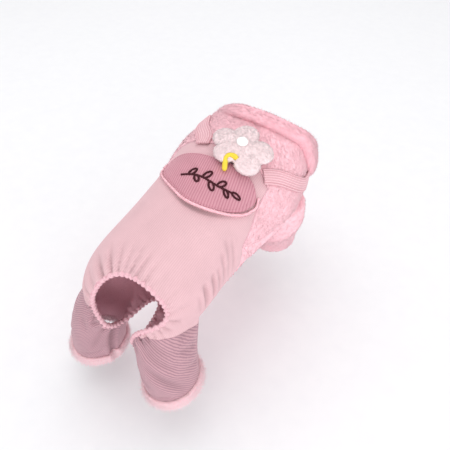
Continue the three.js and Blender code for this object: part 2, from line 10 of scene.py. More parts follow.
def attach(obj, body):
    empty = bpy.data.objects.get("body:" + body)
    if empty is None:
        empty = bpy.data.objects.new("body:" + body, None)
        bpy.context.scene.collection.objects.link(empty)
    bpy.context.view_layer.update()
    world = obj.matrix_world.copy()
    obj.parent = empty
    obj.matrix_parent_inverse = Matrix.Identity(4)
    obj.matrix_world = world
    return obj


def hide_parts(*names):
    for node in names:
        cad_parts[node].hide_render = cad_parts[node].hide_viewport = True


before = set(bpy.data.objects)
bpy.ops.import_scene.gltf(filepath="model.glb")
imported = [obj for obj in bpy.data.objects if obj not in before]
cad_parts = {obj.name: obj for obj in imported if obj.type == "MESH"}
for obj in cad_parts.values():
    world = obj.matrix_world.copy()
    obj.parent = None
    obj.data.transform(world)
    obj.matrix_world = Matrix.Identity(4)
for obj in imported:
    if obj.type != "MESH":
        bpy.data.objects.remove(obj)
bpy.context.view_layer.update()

# Camera
# The suit is seen from behind and above on its right side, with a short portrait lens.
aim = Vector((-0.014, 0.0870, -0.1122))
camera_turn = math.radians(34)
camera_rise = math.radians(43.8)
camera_reach = 0.545
away = Vector((
    math.sin(camera_turn) * math.cos(camera_rise),
    -math.cos(camera_turn) * math.cos(camera_rise),
    math.sin(camera_rise)))
camera = bpy.data.objects.new("camera", bpy.data.cameras.new("camera"))
camera.data.lens = 37.44
camera.data.sensor_width = 36
camera.data.clip_start = 0.01
camera.location = aim + away * camera_reach
camera.rotation_euler = away.to_track_quat("Z", "Y").to_euler()
bpy.context.collection.objects.link(camera)
bpy.context.scene.camera = camera

# Floor and light
# A pale matt sheet under the suit, a white studio round it, a large soft lamp above and a low one beside it.
def colour(code):
    """Linear colour from an sRGB hex code."""
    parts = [int(code[i:i + 2], 16) / 255 for i in (1, 3, 5)]
    return tuple(p / 12.92 if p <= 0.04045 else ((p + 0.055) / 1.055) ** 2.4 for p in parts) + (1.0,)

def add_node(tree, kind, sockets=None, **settings):
    """Adds one node; sockets holds values, or the nodes or outputs that its inputs are linked to."""
    node = tree.nodes.new("ShaderNode" + kind)
    for name, value in settings.items():
        setattr(node, name, value)
    for name, value in (sockets or {}).items():
        if isinstance(value, bpy.types.Node):
            value = value.outputs[0]
        if isinstance(value, bpy.types.NodeSocket):
            tree.links.new(value, node.inputs[name])
        else:
            node.inputs[name].default_value = value
    return node

def new_finish(name):
    """An empty material, its node tree and the place on the piece that its patterns are laid out by."""
    finish = bpy.data.materials.new(name)
    finish.use_nodes = True
    finish.node_tree.nodes.clear()
    return finish, finish.node_tree, add_node(finish.node_tree, "TexCoord").outputs["Object"]

def flecked_finish(name, kind, pattern, colours, look, bump=0.0, output="Fac", **settings):
    """A finish in two near colours, mixed by one fine pattern that can also raise the surface."""
    finish, tree, where = new_finish(name)
    flecks = add_node(tree, kind, {"Vector": where, **pattern}, **settings).outputs[output]
    tint = add_node(tree, "Mix", {
        "Factor": flecks, 6: colour(colours[0]), 7: colour(colours[1])}, data_type="RGBA")
    sockets = {"Base Color": tint.outputs[2], **look}
    if bump:
        sockets["Normal"] = add_node(tree, "Bump", {"Height": flecks, "Distance": bump})
    add_node(tree, "OutputMaterial", {"Surface": add_node(tree, "BsdfPrincipled", sockets)})
    return finish

floor_height = -0.1922
floor_reach = 3.0
floor_paper = flecked_finish(
    "matt_floor_paper", "TexNoise", {"Scale": 60.0}, ("#ededf0", "#f2f2f4"), {"Roughness": 0.95})
floor_mesh = bpy.data.meshes.new("floor")
floor_mesh.from_pydata(
    [(a * floor_reach, b * floor_reach, floor_height) for a, b in ((-1, -1), (1, -1), (1, 1), (-1, 1))],
    [], [(0, 1, 2, 3)])
floor_mesh.materials.append(floor_paper)
floor = bpy.data.objects.new("floor", floor_mesh)
bpy.context.collection.objects.link(floor)

studio = bpy.data.worlds.new("studio")
studio.use_nodes = True
studio_light = studio.node_tree.nodes["Background"]
studio_light.inputs["Color"].default_value = colour("#ffffff")
studio_light.inputs["Strength"].default_value = 0.92
bpy.context.scene.world = studio
bpy.context.scene.view_settings.view_transform = "Standard"
lamp_aim = Vector((0.0, 0.06, -0.05))
for name, spot, size, power in (
        ("soft_lamp", (-0.3, 0.2, 1.4), 1.5, 6.5),
        ("fill_lamp", (1.1, -0.9, 0.15), 1.0, 8.0)):
    lamp = bpy.data.objects.new(name, bpy.data.lights.new(name, "AREA"))
    lamp.data.size = size
    lamp.data.energy = power
    lamp.location = spot
    lamp.rotation_euler = (Vector(spot) - lamp_aim).to_track_quat("Z", "Y").to_euler()
    bpy.context.collection.objects.link(lamp)

# Body shape
# One hollow form for the whole suit: the trunk is lofted from hoops, and the four legs are lofted tubes.
# Every panel is cut from it. Sizes are millimetres, shares and degrees, as the pattern was drawn.
half_width = 68.0
half_depth = 62.0
body_length = 250.0
neck_rise = 69.0
cloth = 2.0
seat_at = 0.446
trunk_end = 0.935
trunk_columns = ("at", "along", "rise", "wide", "above", "below", "lean")
trunk_rows = (
    (0.00, 0.000, 0.000, 0.088, 0.097, 0.097, 0),
    (0.03, 0.008, 0.000, 0.382, 0.403, 0.387, 0),
    (0.08, 0.040, 0.000, 0.618, 0.565, 0.532, 0),
    (0.16, 0.104, 0.014, 0.765, 0.710, 0.565, 0),
    (0.27, 0.216, 0.043, 0.838, 0.823, 0.532, 0),
    (0.38, 0.344, 0.101, 0.840, 0.887, 0.520, 0),
    (0.50, 0.488, 0.159, 0.865, 0.968, 0.540, 2),
    (0.62, 0.624, 0.217, 0.925, 1.000, 0.640, 6),
    (0.73, 0.744, 0.333, 1.000, 0.968, 0.760, 16),
    (0.83, 0.856, 0.536, 0.956, 0.839, 0.800, 30),
    (0.90, 0.924, 0.696, 0.868, 0.742, 0.774, 38),
    (1.00, 0.996, 0.913, 0.735, 0.661, 0.677, 43))
limb_columns = ("at", "aside", "forward", "down", "wide", "deep")
leg_rows = (
    (0.00, 0.382, 0.168, 0.00, 0.300, 0.120),
    (0.25, 0.505, 0.128, 0.25, 0.335, 0.134),
    (0.50, 0.595, 0.088, 0.50, 0.335, 0.126),
    (0.75, 0.665, 0.066, 0.75, 0.335, 0.114),
    (1.00, 0.720, 0.060, 1.00, 0.345, 0.106))
sleeve_rows = (
    (0.00, 0.600, 0.800, 0.00, 0.456, 0.144),
    (0.35, 0.600, 0.836, 0.36, 0.425, 0.128),
    (0.70, 0.530, 0.868, 0.72, 0.365, 0.108),
    (1.00, 0.500, 0.886, 1.00, 0.340, 0.096))
leg_drop = {"right": 81.0, "left": 101.0}
leg_fullness = {"right": 1.0, "left": 1.10}
sleeve_drop = 74.0
leg_top = 0.055 * body_length
sleeve_top = 0.044 * body_length

def smooth_table(columns, rows):
    """A smooth curve through each column of a table, read at any share."""
    table = np.array(rows, float)
    at = table[:, 0]
    steps = np.diff(at)
    count = len(at)
    system = np.eye(count)
    pull = np.zeros_like(table)
    slopes = np.diff(table, axis=0) / steps[:, None]
    for i in range(1, count - 1):
        system[i, i - 1:i + 2] = steps[i - 1], 2 * (steps[i - 1] + steps[i]), steps[i]
        pull[i] = 6 * (slopes[i] - slopes[i - 1])
    bends = np.linalg.solve(system, pull)

    def read(share):
        share = np.asarray(share, float)
        i = np.clip(np.searchsorted(at, share) - 1, 0, count - 2)
        step = steps[i][..., None]
        a = ((at[i + 1] - share)[..., None]) / step
        b = ((share - at[i])[..., None]) / step
        curve = ((a ** 3 - a) * bends[i] + (b ** 3 - b) * bends[i + 1]) * step ** 2 / 6
        values = a * table[i] + b * table[i + 1] + np.where((a >= 0) & (b >= 0), curve, 0)
        return {name: values[..., k] for k, name in enumerate(columns)}
    return read

trunk_roundness = 0.92

def rounded_power(value, power):
    """Keeps the sign of a sine or cosine and squares its curve off a little."""
    return np.sign(value) * np.abs(value) ** power

def fade(value, start, end):
    """Goes smoothly from nought at the start to one at the end."""
    t = np.clip((value - start) / (end - start), 0, 1)
    return t * t * (3 - 2 * t)

trunk_at = smooth_table(trunk_columns, trunk_rows)
leg_at = smooth_table(limb_columns, leg_rows)
sleeve_at = smooth_table(limb_columns, sleeve_rows)

# Creases of the worn cloth: the share and angle where each starts and ends, then its width and depth.
# Angles go round from the spine on the trunk, and round from the front of a leg.
trunk_folds = (
    (0.325, 96, 0.335, 70, 2.0, 3.3), (0.286, 96, 0.293, 70, 2.2, 3.6), (0.352, 96, 0.360, 71, 1.8, 2.2),
    (0.376, 92, 0.394, 64, 2.0, 2.4), (0.398, 90, 0.427, 57, 2.0, 2.2), (0.422, 90, 0.444, 60, 2.0, 1.8),
    (0.305, -96, 0.315, -70, 2.0, 2.2), (0.340, -96, 0.350, -72, 1.8, 1.5),
    (0.385, -92, 0.400, -66, 1.8, 1.1), (0.260, 92, 0.262, 74, 2.2, 1.3), (0.262, -92, 0.265, -74, 2.2, 1.4))
leg_folds = {
    "right": (
        (0.10, 181, 0.35, 129, 3.2, 1.7), (0.22, 178, 0.50, 124, 3.4, 2.0), (0.44, 165, 0.80, 112, 4.2, 1.9),
        (0.29, 72, 0.22, 108, 2.6, 1.3), (0.49, 66, 0.37, 104, 2.8, 1.2), (0.62, 210, 0.74, 172, 3.2, 1.3),
        (0.70, 60, 0.62, 95, 3.0, 1.0), (0.86, 190, 0.84, 130, 2.2, 0.9)),
    "left": (
        (0.36, 251, 0.98, 257, 2.8, 4.2), (0.26, 226, 0.42, 232, 1.9, 2.4), (0.22, 205, 0.36, 209, 1.9, 2.2),
        (0.30, 182, 0.42, 196, 2.4, 1.2), (0.50, 228, 0.72, 216, 3.0, 1.2), (0.78, 235, 0.84, 190, 2.6, 1.1),
        (0.60, 160, 0.70, 120, 3.0, 1.1), (0.40, 130, 0.46, 100, 3.0, 1.0))}
trunk_round_way = 1.08
leg_round_way = 0.45

def fold_depth(folds, share, degrees, long_way, round_way):
    """How far the creases press the cloth in; each has a low ridge on both sides.

    The last two values are the millimetres in a whole share and in one degree.
    """
    depth = np.zeros(np.broadcast(share, degrees).shape)
    for from_at, from_angle, to_at, to_angle, wide, deep in folds:
        middle = (from_angle + to_angle) / 2
        turned = (degrees - middle + 180) % 360 - 180 + middle
        way = np.array([(to_at - from_at) * long_way, (to_angle - from_angle) * round_way])
        down = (share - from_at) * long_way
        over = (turned - from_angle) * round_way
        t = np.clip((down * way[0] + over * way[1]) / (way @ way), 0, 1)
        away_by = np.hypot(down - t * way[0], over - t * way[1]) / wide
        dent = np.exp(-away_by ** 2) - 0.4 * np.exp(-((away_by - 1.9) / 0.8) ** 2)
        depth = depth + deep * dent * (1 - 0.5 * np.abs(2 * t - 1) ** 3)
    return depth

def trunk_skin(share, angle):
    """A point of the trunk, before the origin is moved to the back."""
    row = trunk_at(share)
    press = fold_depth(trunk_folds, share, np.degrees(angle), body_length, trunk_round_way)
    tall = np.where(np.cos(angle) > 0, row["above"], row["below"]) * half_depth - press
    lift = tall * rounded_power(np.cos(angle), trunk_roundness)
    lean = np.radians(row["lean"])
    return np.stack([
        (row["wide"] * half_width - press) * rounded_power(np.sin(angle), trunk_roundness),
        row["along"] * body_length - lift * np.sin(lean),
        row["rise"] * neck_rise + lift * np.cos(lean)], -1)

seat = trunk_skin(np.array(seat_at), np.array(0.0)) - (0, 0, cloth)

def unit(vector):
    return vector / np.maximum(np.linalg.norm(vector, axis=-1, keepdims=True), 1e-9)

def trunk_normal(share, angle):
    along = trunk_skin(share + 0.004, angle) - trunk_skin(np.maximum(share - 0.004, 0), angle)
    around = trunk_skin(share, angle + 0.04) - trunk_skin(share, angle - 0.04)
    return unit(np.cross(around, along))

def trunk_point(share, angle, grow=0.0):
    share, angle = np.broadcast_arrays(np.asarray(share, float), np.asarray(angle, float))
    skin = trunk_skin(share, angle) - (0, seat[1], seat[2])
    return skin + trunk_normal(share, angle) * np.asarray(grow)[..., None]

def limb_point(rows_at, side, drop, top, share, angle, grow=0.0, fullness=1.0):
    share, angle = np.broadcast_arrays(np.asarray(share, float), np.asarray(angle, float))
    row = rows_at(share)
    full = np.where(share > 0.3, fullness, 1.0)
    hand = 1 if side == "right" else -1
    return np.stack([
        hand * (row["aside"] * half_width + (row["wide"] * half_width * full + grow) * np.sin(angle)),
        row["forward"] * body_length - seat[1] + (row["deep"] * body_length + grow) * np.cos(angle),
        top - row["down"] * drop - seat[2] + 0 * angle], -1)

def leg_point(side, share, angle, grow=0.0):
    drop = leg_drop[side]
    press = fold_depth(leg_folds[side], share, np.degrees(angle), drop, leg_round_way)
    return limb_point(leg_at, side, drop, leg_top, share, angle, grow - press, leg_fullness[side])

def sleeve_point(side, share, angle, grow=0.0):
    return limb_point(sleeve_at, side, sleeve_drop, sleeve_top, share, angle, grow)

def new_piece(name, points, faces):
    """A mesh object from points in millimetres and faces that all have the same number of corners."""
    points = np.asarray(points, float) * 0.001
    faces = np.asarray(faces, int)
    mesh = bpy.data.meshes.new(name)
    mesh.vertices.add(len(points))
    mesh.vertices.foreach_set("co", points.ravel())
    mesh.loops.add(faces.size)
    mesh.loops.foreach_set("vertex_index", faces.ravel())
    mesh.polygons.add(len(faces))
    mesh.polygons.foreach_set("loop_start", np.arange(len(faces)) * faces.shape[1])
    mesh.update(calc_edges=True)
    mesh.shade_smooth()
    piece = bpy.data.objects.new(name, mesh)
    bpy.context.collection.objects.link(piece)
    return piece

def grid_quads(rows, count, closed=False):
    """Four-cornered faces between rings of points, and from the last ring to the first where closed."""
    i, j = np.meshgrid(np.arange(rows if closed else rows - 1), np.arange(count), indexing="ij")
    n, k = (i + 1) % rows, (j + 1) % count
    return np.stack([i * count + j, i * count + k, n * count + k, n * count + j], -1).reshape(-1, 4)

def tube_arrays(rings):
    """Points and triangles of a closed tube through rings of points, with flat ends."""
    rows, count = rings.shape[:2]
    quads = grid_quads(rows, count)
    edge = np.arange(count)
    ahead = (edge + 1) % count
    last_row = (rows - 1) * count
    first_end = np.stack([ahead, edge, np.full(count, rows * count)], -1)
    last_end = np.stack([last_row + edge, last_row + ahead, np.full(count, rows * count + 1)], -1)
    points = np.concatenate([rings.reshape(-1, 3), rings[0].mean(0)[None], rings[-1].mean(0)[None]])
    return outward(points, np.concatenate([quads[:, [0, 1, 2]], quads[:, [0, 2, 3]], first_end, last_end]))

def outward(points, faces):
    """Turns the triangles of a closed body so that they face out."""
    a, b, c = points[faces[:, 0]], points[faces[:, 1]], points[faces[:, 2]]
    volume = np.einsum("ij,ij->i", a, np.cross(b, c)).sum()
    return (points, faces[:, ::-1]) if volume < 0 else (points, faces)

def hoop_arrays(rings):
    """Points and triangles of a ring-shaped body, such as a roll round a hem."""
    quads = grid_quads(*rings.shape[:2], closed=True)
    return outward(rings.reshape(-1, 3), np.concatenate([quads[:, [0, 3, 2]], quads[:, [0, 2, 1]]]))

def settle(piece):
    """Makes the piece's modifiers part of its mesh."""
    graph = bpy.context.evaluated_depsgraph_get()
    mesh = bpy.data.meshes.new_from_object(piece.evaluated_get(graph))
    piece.modifiers.clear()
    piece.data = mesh
    return piece

def combine(piece, other, how):
    """Joins, cuts or keeps the overlap of two closed pieces."""
    change = piece.modifiers.new("combine", "BOOLEAN")
    change.object = other
    change.operation = how
    change.solver = "MANIFOLD"
    return settle(piece)

def copy_piece(piece, name):
    twin = bpy.data.objects.new(name, piece.data.copy())
    bpy.context.collection.objects.link(twin)
    return twin

def discard(*pieces):
    for piece in pieces:
        bpy.data.objects.remove(piece, do_unlink=True)

def read_points(piece):
    """The piece's points in millimetres, and its point normals."""
    mesh = piece.data
    points = np.empty(len(mesh.vertices) * 3)
    mesh.vertices.foreach_get("co", points)
    normals = np.empty(len(mesh.vertices) * 3)
    mesh.vertex_normals.foreach_get("vector", normals)
    return points.reshape(-1, 3) * 1000, normals.reshape(-1, 3)

def write_points(piece, points):
    piece.data.vertices.foreach_set("co", (points * 0.001).ravel())
    piece.data.update()

def round_angles(count):
    return np.linspace(0, 2 * np.pi, count + 1)[:-1]

turns = round_angles(160)
limb_turns = round_angles(90)

def join_parts(name, parts):
    """One piece made of several closed bodies that run into each other."""
    whole = new_piece(name, *parts[0])
    for points, faces in parts[1:]:
        part = new_piece("part", points, faces)
        combine(whole, part, "UNION")
        discard(part)
    return whole

def whole_body(grow, voxel, through):
    """The suit's closed form: trunk and four limbs as one body, with a soft join where they meet."""
    trunk_shares = np.linspace(0.0, 1.03 if through else trunk_end + 0.02, 150)
    leg_end = 1.12 if through else 0.98
    sleeve_end = 1.12 if through else 1.0
    parts = [tube_arrays(trunk_point(trunk_shares[:, None], turns[None], grow))]
    for side in ("right", "left"):
        for limb_at, end, rows in ((leg_point, leg_end, 66), (sleeve_point, sleeve_end, 40)):
            shares = np.linspace(0, end, rows)[:, None]
            parts.append(tube_arrays(limb_at(side, shares, limb_turns[None], grow)))
    body = join_parts("body_form", parts)
    remesh = body.modifiers.new("remesh", "REMESH")
    remesh.mode = "VOXEL"
    remesh.voxel_size = voxel * 0.001
    remesh.use_smooth_shade = True
    soften = body.modifiers.new("soften", "SMOOTH")
    soften.factor = 0.5
    soften.iterations = 2
    return settle(body)

outer_form = whole_body(0.0, 1.5, False)
inner_form = whole_body(-cloth, 2.6, True)

def place(across, along, up):
    return np.array([across * half_width, along * body_length - seat[1], up * body_length - seat[2]])

def smooth_line(points, count, closed):
    """Evenly spaced points on a smooth curve through the given ones."""
    points = np.asarray(points, float)
    if closed:
        around = np.concatenate([points[-1:], points, points[:2]])
    else:
        around = np.concatenate([2 * points[:1] - points[1:2], points, 2 * points[-1:] - points[-2:-1]])
    dense = []
    t = np.linspace(0, 1, 40, endpoint=False)[:, None]
    for p0, p1, p2, p3 in zip(around, around[1:], around[2:], around[3:]):
        d0, d1, d2 = (max(np.linalg.norm(b - a), 1e-6) ** 0.5 for a, b in ((p0, p1), (p1, p2), (p2, p3)))
        m1 = ((p1 - p0) / d0 - (p2 - p0) / (d0 + d1) + (p2 - p1) / d1) * d1
        m2 = ((p2 - p1) / d1 - (p3 - p1) / (d1 + d2) + (p3 - p2) / d2) * d1
        dense.append((2 * t ** 3 - 3 * t ** 2 + 1) * p1 + (t ** 3 - 2 * t ** 2 + t) * m1
                     + (3 * t ** 2 - 2 * t ** 3) * p2 + (t ** 3 - t ** 2) * m2)
    dense = np.concatenate(dense + [around[1:2] if closed else points[-1:]])
    lengths = np.concatenate([[0], np.cumsum(np.linalg.norm(np.diff(dense, axis=0), axis=1))])
    wanted = np.linspace(0, lengths[-1], count + 1 if closed else count)
    even = np.stack([np.interp(wanted, lengths, dense[:, k]) for k in range(3)], -1)
    return even[:-1] if closed else even

# Open rump
# The cloth ends on a line round the rump, where elastic gathers it into short pleats.
# Each row is a point on that line: across, along and up, as shares.
rump_rows = (
    (0.206, 0.094, 0.176), (0.412, 0.098, 0.152), (0.544, 0.098, 0.132), (0.647, 0.096, 0.100),
    (0.676, 0.088, 0.060), (0.588, 0.040, 0.040), (0.441, 0.016, 0.024), (0.294, 0.024, -0.024),
    (0.206, 0.044, -0.080), (0.184, 0.096, -0.124), (0.162, 0.160, -0.128), (0.103, 0.216, -0.124),
    (0.015, 0.240, -0.122), (-0.074, 0.216, -0.124), (-0.132, 0.160, -0.128), (-0.147, 0.096, -0.124),
    (-0.176, 0.044, -0.092), (-0.235, 0.020, -0.044), (-0.309, 0.020, 0.016), (-0.294, 0.016, 0.060),
    (-0.243, 0.020, 0.108), (-0.206, 0.048, 0.140), (-0.059, 0.084, 0.164))
heart = place(0.044, 0.176, 0.012)

def triangles_of(piece):
    mesh = piece.data
    mesh.calc_loop_triangles()
    corners = np.empty(len(mesh.loop_triangles) * 3, np.int32)
    mesh.loop_triangles.foreach_get("vertices", corners)
    return corners.reshape(-1, 3)

def surface_tree(piece):
    """A search tree over the piece's faces, in millimetres."""
    points, _ = read_points(piece)
    return BVHTree.FromPolygons(points.tolist(), triangles_of(piece).tolist())

outer_tree = surface_tree(outer_form)
edge_points = 48
rump_edge = []
for spot in smooth_line([place(*row) for row in rump_rows], edge_points, True):
    way = unit(spot - heart)
    hit = outer_tree.ray_cast(Vector(heart), Vector(way))[0]
    rump_edge.append(np.array(hit) - way * cloth / 2)
rump_edge = np.array(rump_edge)
for turn in range(2):
    rump_edge = rump_edge * 0.5 + np.roll(rump_edge, 1, 0) * 0.25 + np.roll(rump_edge, -1, 0) * 0.25
rump_line = smooth_line(rump_edge, 360, True)
rump_length = np.linalg.norm(rump_line - np.roll(rump_line, 1, 0), axis=1).sum()

def rump_distance(points):
    """Distance of each point from the rump line, and the share of the line that it is nearest to."""
    near = np.empty(len(points))
    share = np.empty(len(points))
    batch = 4000
    for start in range(0, len(points), batch):
        part = points[start:start + batch]
        spread = np.linalg.norm(part[:, None] - rump_line[None], axis=2)
        best = spread.argmin(1)
        near[start:start + batch] = spread[np.arange(len(part)), best]
        share[start:start + batch] = best / len(rump_line)
    return near, share

mouth_points = (rump_edge - heart) * 1.2 + heart
mouth_back = place(0.044, -1.2, -0.9)
edge = np.arange(edge_points)
ahead = (edge + 1) % edge_points
mouth = new_piece("rump_mouth", *outward(
    np.concatenate([mouth_points, [heart, mouth_back]]),
    np.concatenate([np.stack([edge, ahead, np.full(edge_points, edge_points)], -1),
                    np.stack([ahead, edge, np.full(edge_points, edge_points + 1)], -1)])))

# Folds and gathers
# The worn cloth creases where the legs leave the body and gathers towards the elastic of the rump.
wide_pleat = 7.4
fine_pleat = 3.9
pleat_height = 4.8

def gathers(points):
    """How far the cloth stands out or dips, in millimetres, from the gathers round the rump."""
    near, share = rump_distance(points)
    wide = share * rump_length / wide_pleat + 0.6 * np.sin(2 * np.pi * share * 5 + 1.0)
    fine = share * rump_length / fine_pleat + 0.5 * np.sin(2 * np.pi * share * 11)
    uneven = 0.75 + 0.35 * np.sin(2 * np.pi * share * 9 + 0.4)
    right_side = fade(points[:, 0], 2, 26)
    low_side = 1 - fade(points[:, 2], -62, -40)
    wide_pleats = (np.abs(np.cos(np.pi * wide)) - 0.6) * uneven * (1 - fade(near, 4, 36 - 20 * low_side))
    fine_pleats = np.cos(2 * np.pi * fine) * uneven * (1 - fade(near, 1.5, 15))
    return (wide_pleats * pleat_height * (1 - 0.75 * right_side * (1 - low_side))
            + fine_pleats * (0.3 + 0.5 * right_side + 0.35 * low_side))

outer_points, outer_normals = read_points(outer_form)
write_points(outer_form, outer_points + outer_normals * gathers(outer_points)[:, None])
outer_tree = surface_tree(outer_form)
inner_points, inner_normals = read_points(inner_form)
inner_pleats = 0.8
inner_points = inner_points + inner_normals * gathers(inner_points)[:, None] * inner_pleats
least_cloth = 1.6
search_reach = 8.0

def keep_apart(points, normals, tree, side):
    """Moves points off another form by the least cloth; side is 1 for points inside it and -1 outside."""
    for n, (point, normal) in enumerate(zip(points, normals)):
        spot, way, _, far = tree.find_nearest(Vector(point))
        depth = side * (spot - Vector(point)).dot(way)
        if depth < least_cloth and far < search_reach and way.dot(Vector(normal)) > 0.15:
            points[n] -= side * np.array(way) * (least_cloth - depth)

keep_apart(inner_points, inner_normals, outer_tree, 1)
# Between the legs the pleats are deep, so the cloth's thickness is also kept straight through it.
for n, (point, normal) in enumerate(zip(inner_points, inner_normals)):
    start = Vector(point - normal * search_reach)
    spot = outer_tree.ray_cast(start, Vector(normal), search_reach + least_cloth)[0]
    if spot is not None:
        inner_points[n] -= normal * (least_cloth - (spot - Vector(point)).dot(Vector(normal)))
write_points(inner_form, inner_points)
# The outer face is then kept off the inner one, where a deep pleat between the legs would hole it.
outer_points, outer_normals = read_points(outer_form)
keep_apart(outer_points, outer_normals, surface_tree(inner_form), -1)
write_points(outer_form, outer_points)
outer_tree = surface_tree(outer_form)

# Corduroy back
# The back and flanks are one piece of fine cotton corduroy, cut so that its ribs run from rump to neck.
# It is hollow cloth two millimetres thick, and its edges are sewn to the legs, belly and plush yoke.
seam_rows = {
    "shoulder": ((0.668, 0.70), (0.672, 0.280), (0.652, 0.228), (0.604, 0.204), (0.568, 0.184),
                 (0.512, 0.136), (0.460, 0.100)),
    "belly": ((0.460, 0.100), (0.440, 0.030), (0.356, -0.030), (0.224, -0.068)),
    "thigh": ((0.224, -0.068), (0.136, -0.020), (-0.184, 0.060)),
    "groin": ((0.224, -0.068), (0.244, -0.116), (0.244, -0.400)),
    "chest": ((0.460, 0.100), (0.528, -0.028), (0.568, -0.164), (0.568, -0.400)),
    "side": ((0.460, 0.100), (0.568, 0.056), (0.936, 0.056), (1.256, 0.130)),
    "armhole": ((0.568, -0.164), (0.616, -0.164), (0.816, -0.126), (1.016, -0.020), (1.256, 0.100))}
seam_gap = 0.12

def side_slab(outline, low=-200.0, high=200.0):
    """A flat outline seen from the side, drawn out across the body and drawn in by half the seam."""
    flat = np.array([place(0, along, up)[1:] for along, up in outline])
    before, after = np.roll(flat, 1, 0), np.roll(flat, -1, 0)
    turn = np.sign((flat[:, 0] * after[:, 1] - after[:, 0] * flat[:, 1]).sum())
    first = unit(np.stack([-(flat - before)[:, 1], (flat - before)[:, 0]], -1)) * turn
    second = unit(np.stack([-(after - flat)[:, 1], (after - flat)[:, 0]], -1)) * turn
    middle = first + second
    flat = flat + middle * seam_gap / np.maximum((middle ** 2).sum(1, keepdims=True), 0.2)
    count = len(flat)
    points = [(x, y, z) for x in (low, high) for y, z in flat]
    slab = bmesh.new()
    corners = [slab.verts.new(np.array(p) * 0.001) for p in points]
    slab.faces.new(corners[:count])
    slab.faces.new(corners[count:][::-1])
    for i in range(count):
        k = (i + 1) % count
        slab.faces.new((corners[i], corners[i + count], corners[k + count], corners[k]))
    bmesh.ops.recalc_face_normals(slab, faces=slab.faces)
    bmesh.ops.triangulate(slab, faces=slab.faces)
    mesh = bpy.data.meshes.new("side_slab")
    slab.to_mesh(mesh)
    slab.free()
    piece = bpy.data.objects.new("side_slab", mesh)
    bpy.context.collection.objects.link(piece)
    return piece

def cut_panel(name, shell, outline, low=-200.0, high=200.0):
    """One panel of the hollow cloth, cut out by its side outline."""
    panel = copy_piece(shell, name)
    slab = side_slab(outline, low, high)
    combine(panel, slab, "INTERSECT")
    discard(slab)
    return panel

def hollow(form, name):
    """The cloth between an outer form and the inner one, open at the rump."""
    return combine(combine(copy_piece(form, name), inner_form, "DIFFERENCE"), mouth, "DIFFERENCE")

cord_shell = hollow(outer_form, "cord_shell")
back_outline = (seam_rows["shoulder"] + seam_rows["belly"][1:] + seam_rows["thigh"][1:]
                + ((-0.4, 0.06), (-0.4, 0.7)))
back_panel = cut_panel("corduroy_back", cord_shell, back_outline)

def looks_out(tree_of_outside, centres, normals, reach, least):
    """Which faces lie on the outside of the suit and look out of it."""
    found = [tree_of_outside.find_nearest(Vector(centre)) for centre in centres]
    return np.array([far < reach and way.dot(Vector(normal)) > least
                     for (_, way, _, far), normal in zip(found, normals)])

def face_out(piece, tree_of_outside, reverse_finish):
    """Gives the faces that look into the suit the finish of the cloth's wrong side."""
    mesh = piece.data
    centres, normals = np.empty((2, len(mesh.polygons) * 3))
    mesh.polygons.foreach_get("center", centres)
    mesh.polygons.foreach_get("normal", normals)
    outer = looks_out(tree_of_outside, centres.reshape(-1, 3) * 1000, normals.reshape(-1, 3), 0.6, 0.2)
    mesh.materials.append(reverse_finish)
    mesh.polygons.foreach_set("material_index", np.where(outer, 0, 1).astype(np.int32))
    mesh.update()

trunk_shares = np.linspace(0.0, trunk_end + 0.02, 180)
trunk_grid = trunk_point(trunk_shares[:, None], turns[None])
trunk_creases = fold_depth(
    trunk_folds, trunk_shares[:, None], np.degrees(turns[None]), body_length, trunk_round_way)
round_steps = np.linalg.norm(np.diff(trunk_grid, axis=1, append=trunk_grid[:, :1]), axis=2)
trunk_arc = np.concatenate([np.zeros((len(trunk_grid), 1)), np.cumsum(round_steps, 1)[:, :-1]], 1)
past_belly = np.arange(len(turns))[None] > len(turns) // 2
trunk_arc = np.where(past_belly, trunk_arc - round_steps.sum(1, keepdims=True), trunk_arc)

seam_jump = 20
deepest_crease = 3.0

def keep_values(piece, name, values):
    piece.data.attributes.new(name, "FLOAT", "POINT").data.foreach_set("value", values)

def shade_by(tree, base, *shades):
    """Darkens and lightens a colour by patterns, each with its factors at its low and its high values."""
    for pattern, low, high in shades:
        factor = add_node(tree, "MapRange", {
            "Value": pattern, "From Min": 0.3, "From Max": 0.7, "To Min": low, "To Max": high})
        base = add_node(tree, "VectorMath", {0: base, "Scale": factor}, operation="SCALE")
    return base

def write_ribs(piece, grid, counted, pressed):
    """Keeps at each point how creased it is, which the corduroy paints as shade, and how many millimetres of
    cloth lie before it.
    """
    flat = grid.reshape(-1, 3)
    quads = grid_quads(*counted.shape)
    tree = BVHTree.FromPolygons(flat.tolist(), quads.tolist())
    points, _ = read_points(piece)
    value, crease = np.empty((2, len(points)))
    for n, point in enumerate(points):
        spot, _, index, _ = tree.find_nearest(Vector(point))
        corners = quads[index][[0, 1, 3]]
        base, right, up = flat[corners] - [np.zeros(3), flat[corners[0]], flat[corners[0]]]
        away_by = np.array(spot) - base
        share_right = np.dot(away_by, right) / max(np.dot(right, right), 1e-9)
        share_up = np.dot(away_by, up) / max(np.dot(up, up), 1e-9)
        here, beside, above = counted.flat[corners]
        if abs(beside - here) > seam_jump:
            beside = here + np.linalg.norm(right)
        value[n] = here + share_right * (beside - here) + share_up * (above - here)
        here, beside, above = pressed.flat[corners]
        crease[n] = here + share_right * (beside - here) + share_up * (above - here)
    # The dips between the rump pleats raise the crease value, so painted shade darkens the corduroy there.
    crease = crease + 1.1 * np.clip(-gathers(points), 0, deepest_crease)
    keep_values(piece, "rib", value)
    keep_values(piece, "crease", np.clip(crease / deepest_crease, 0, 1))

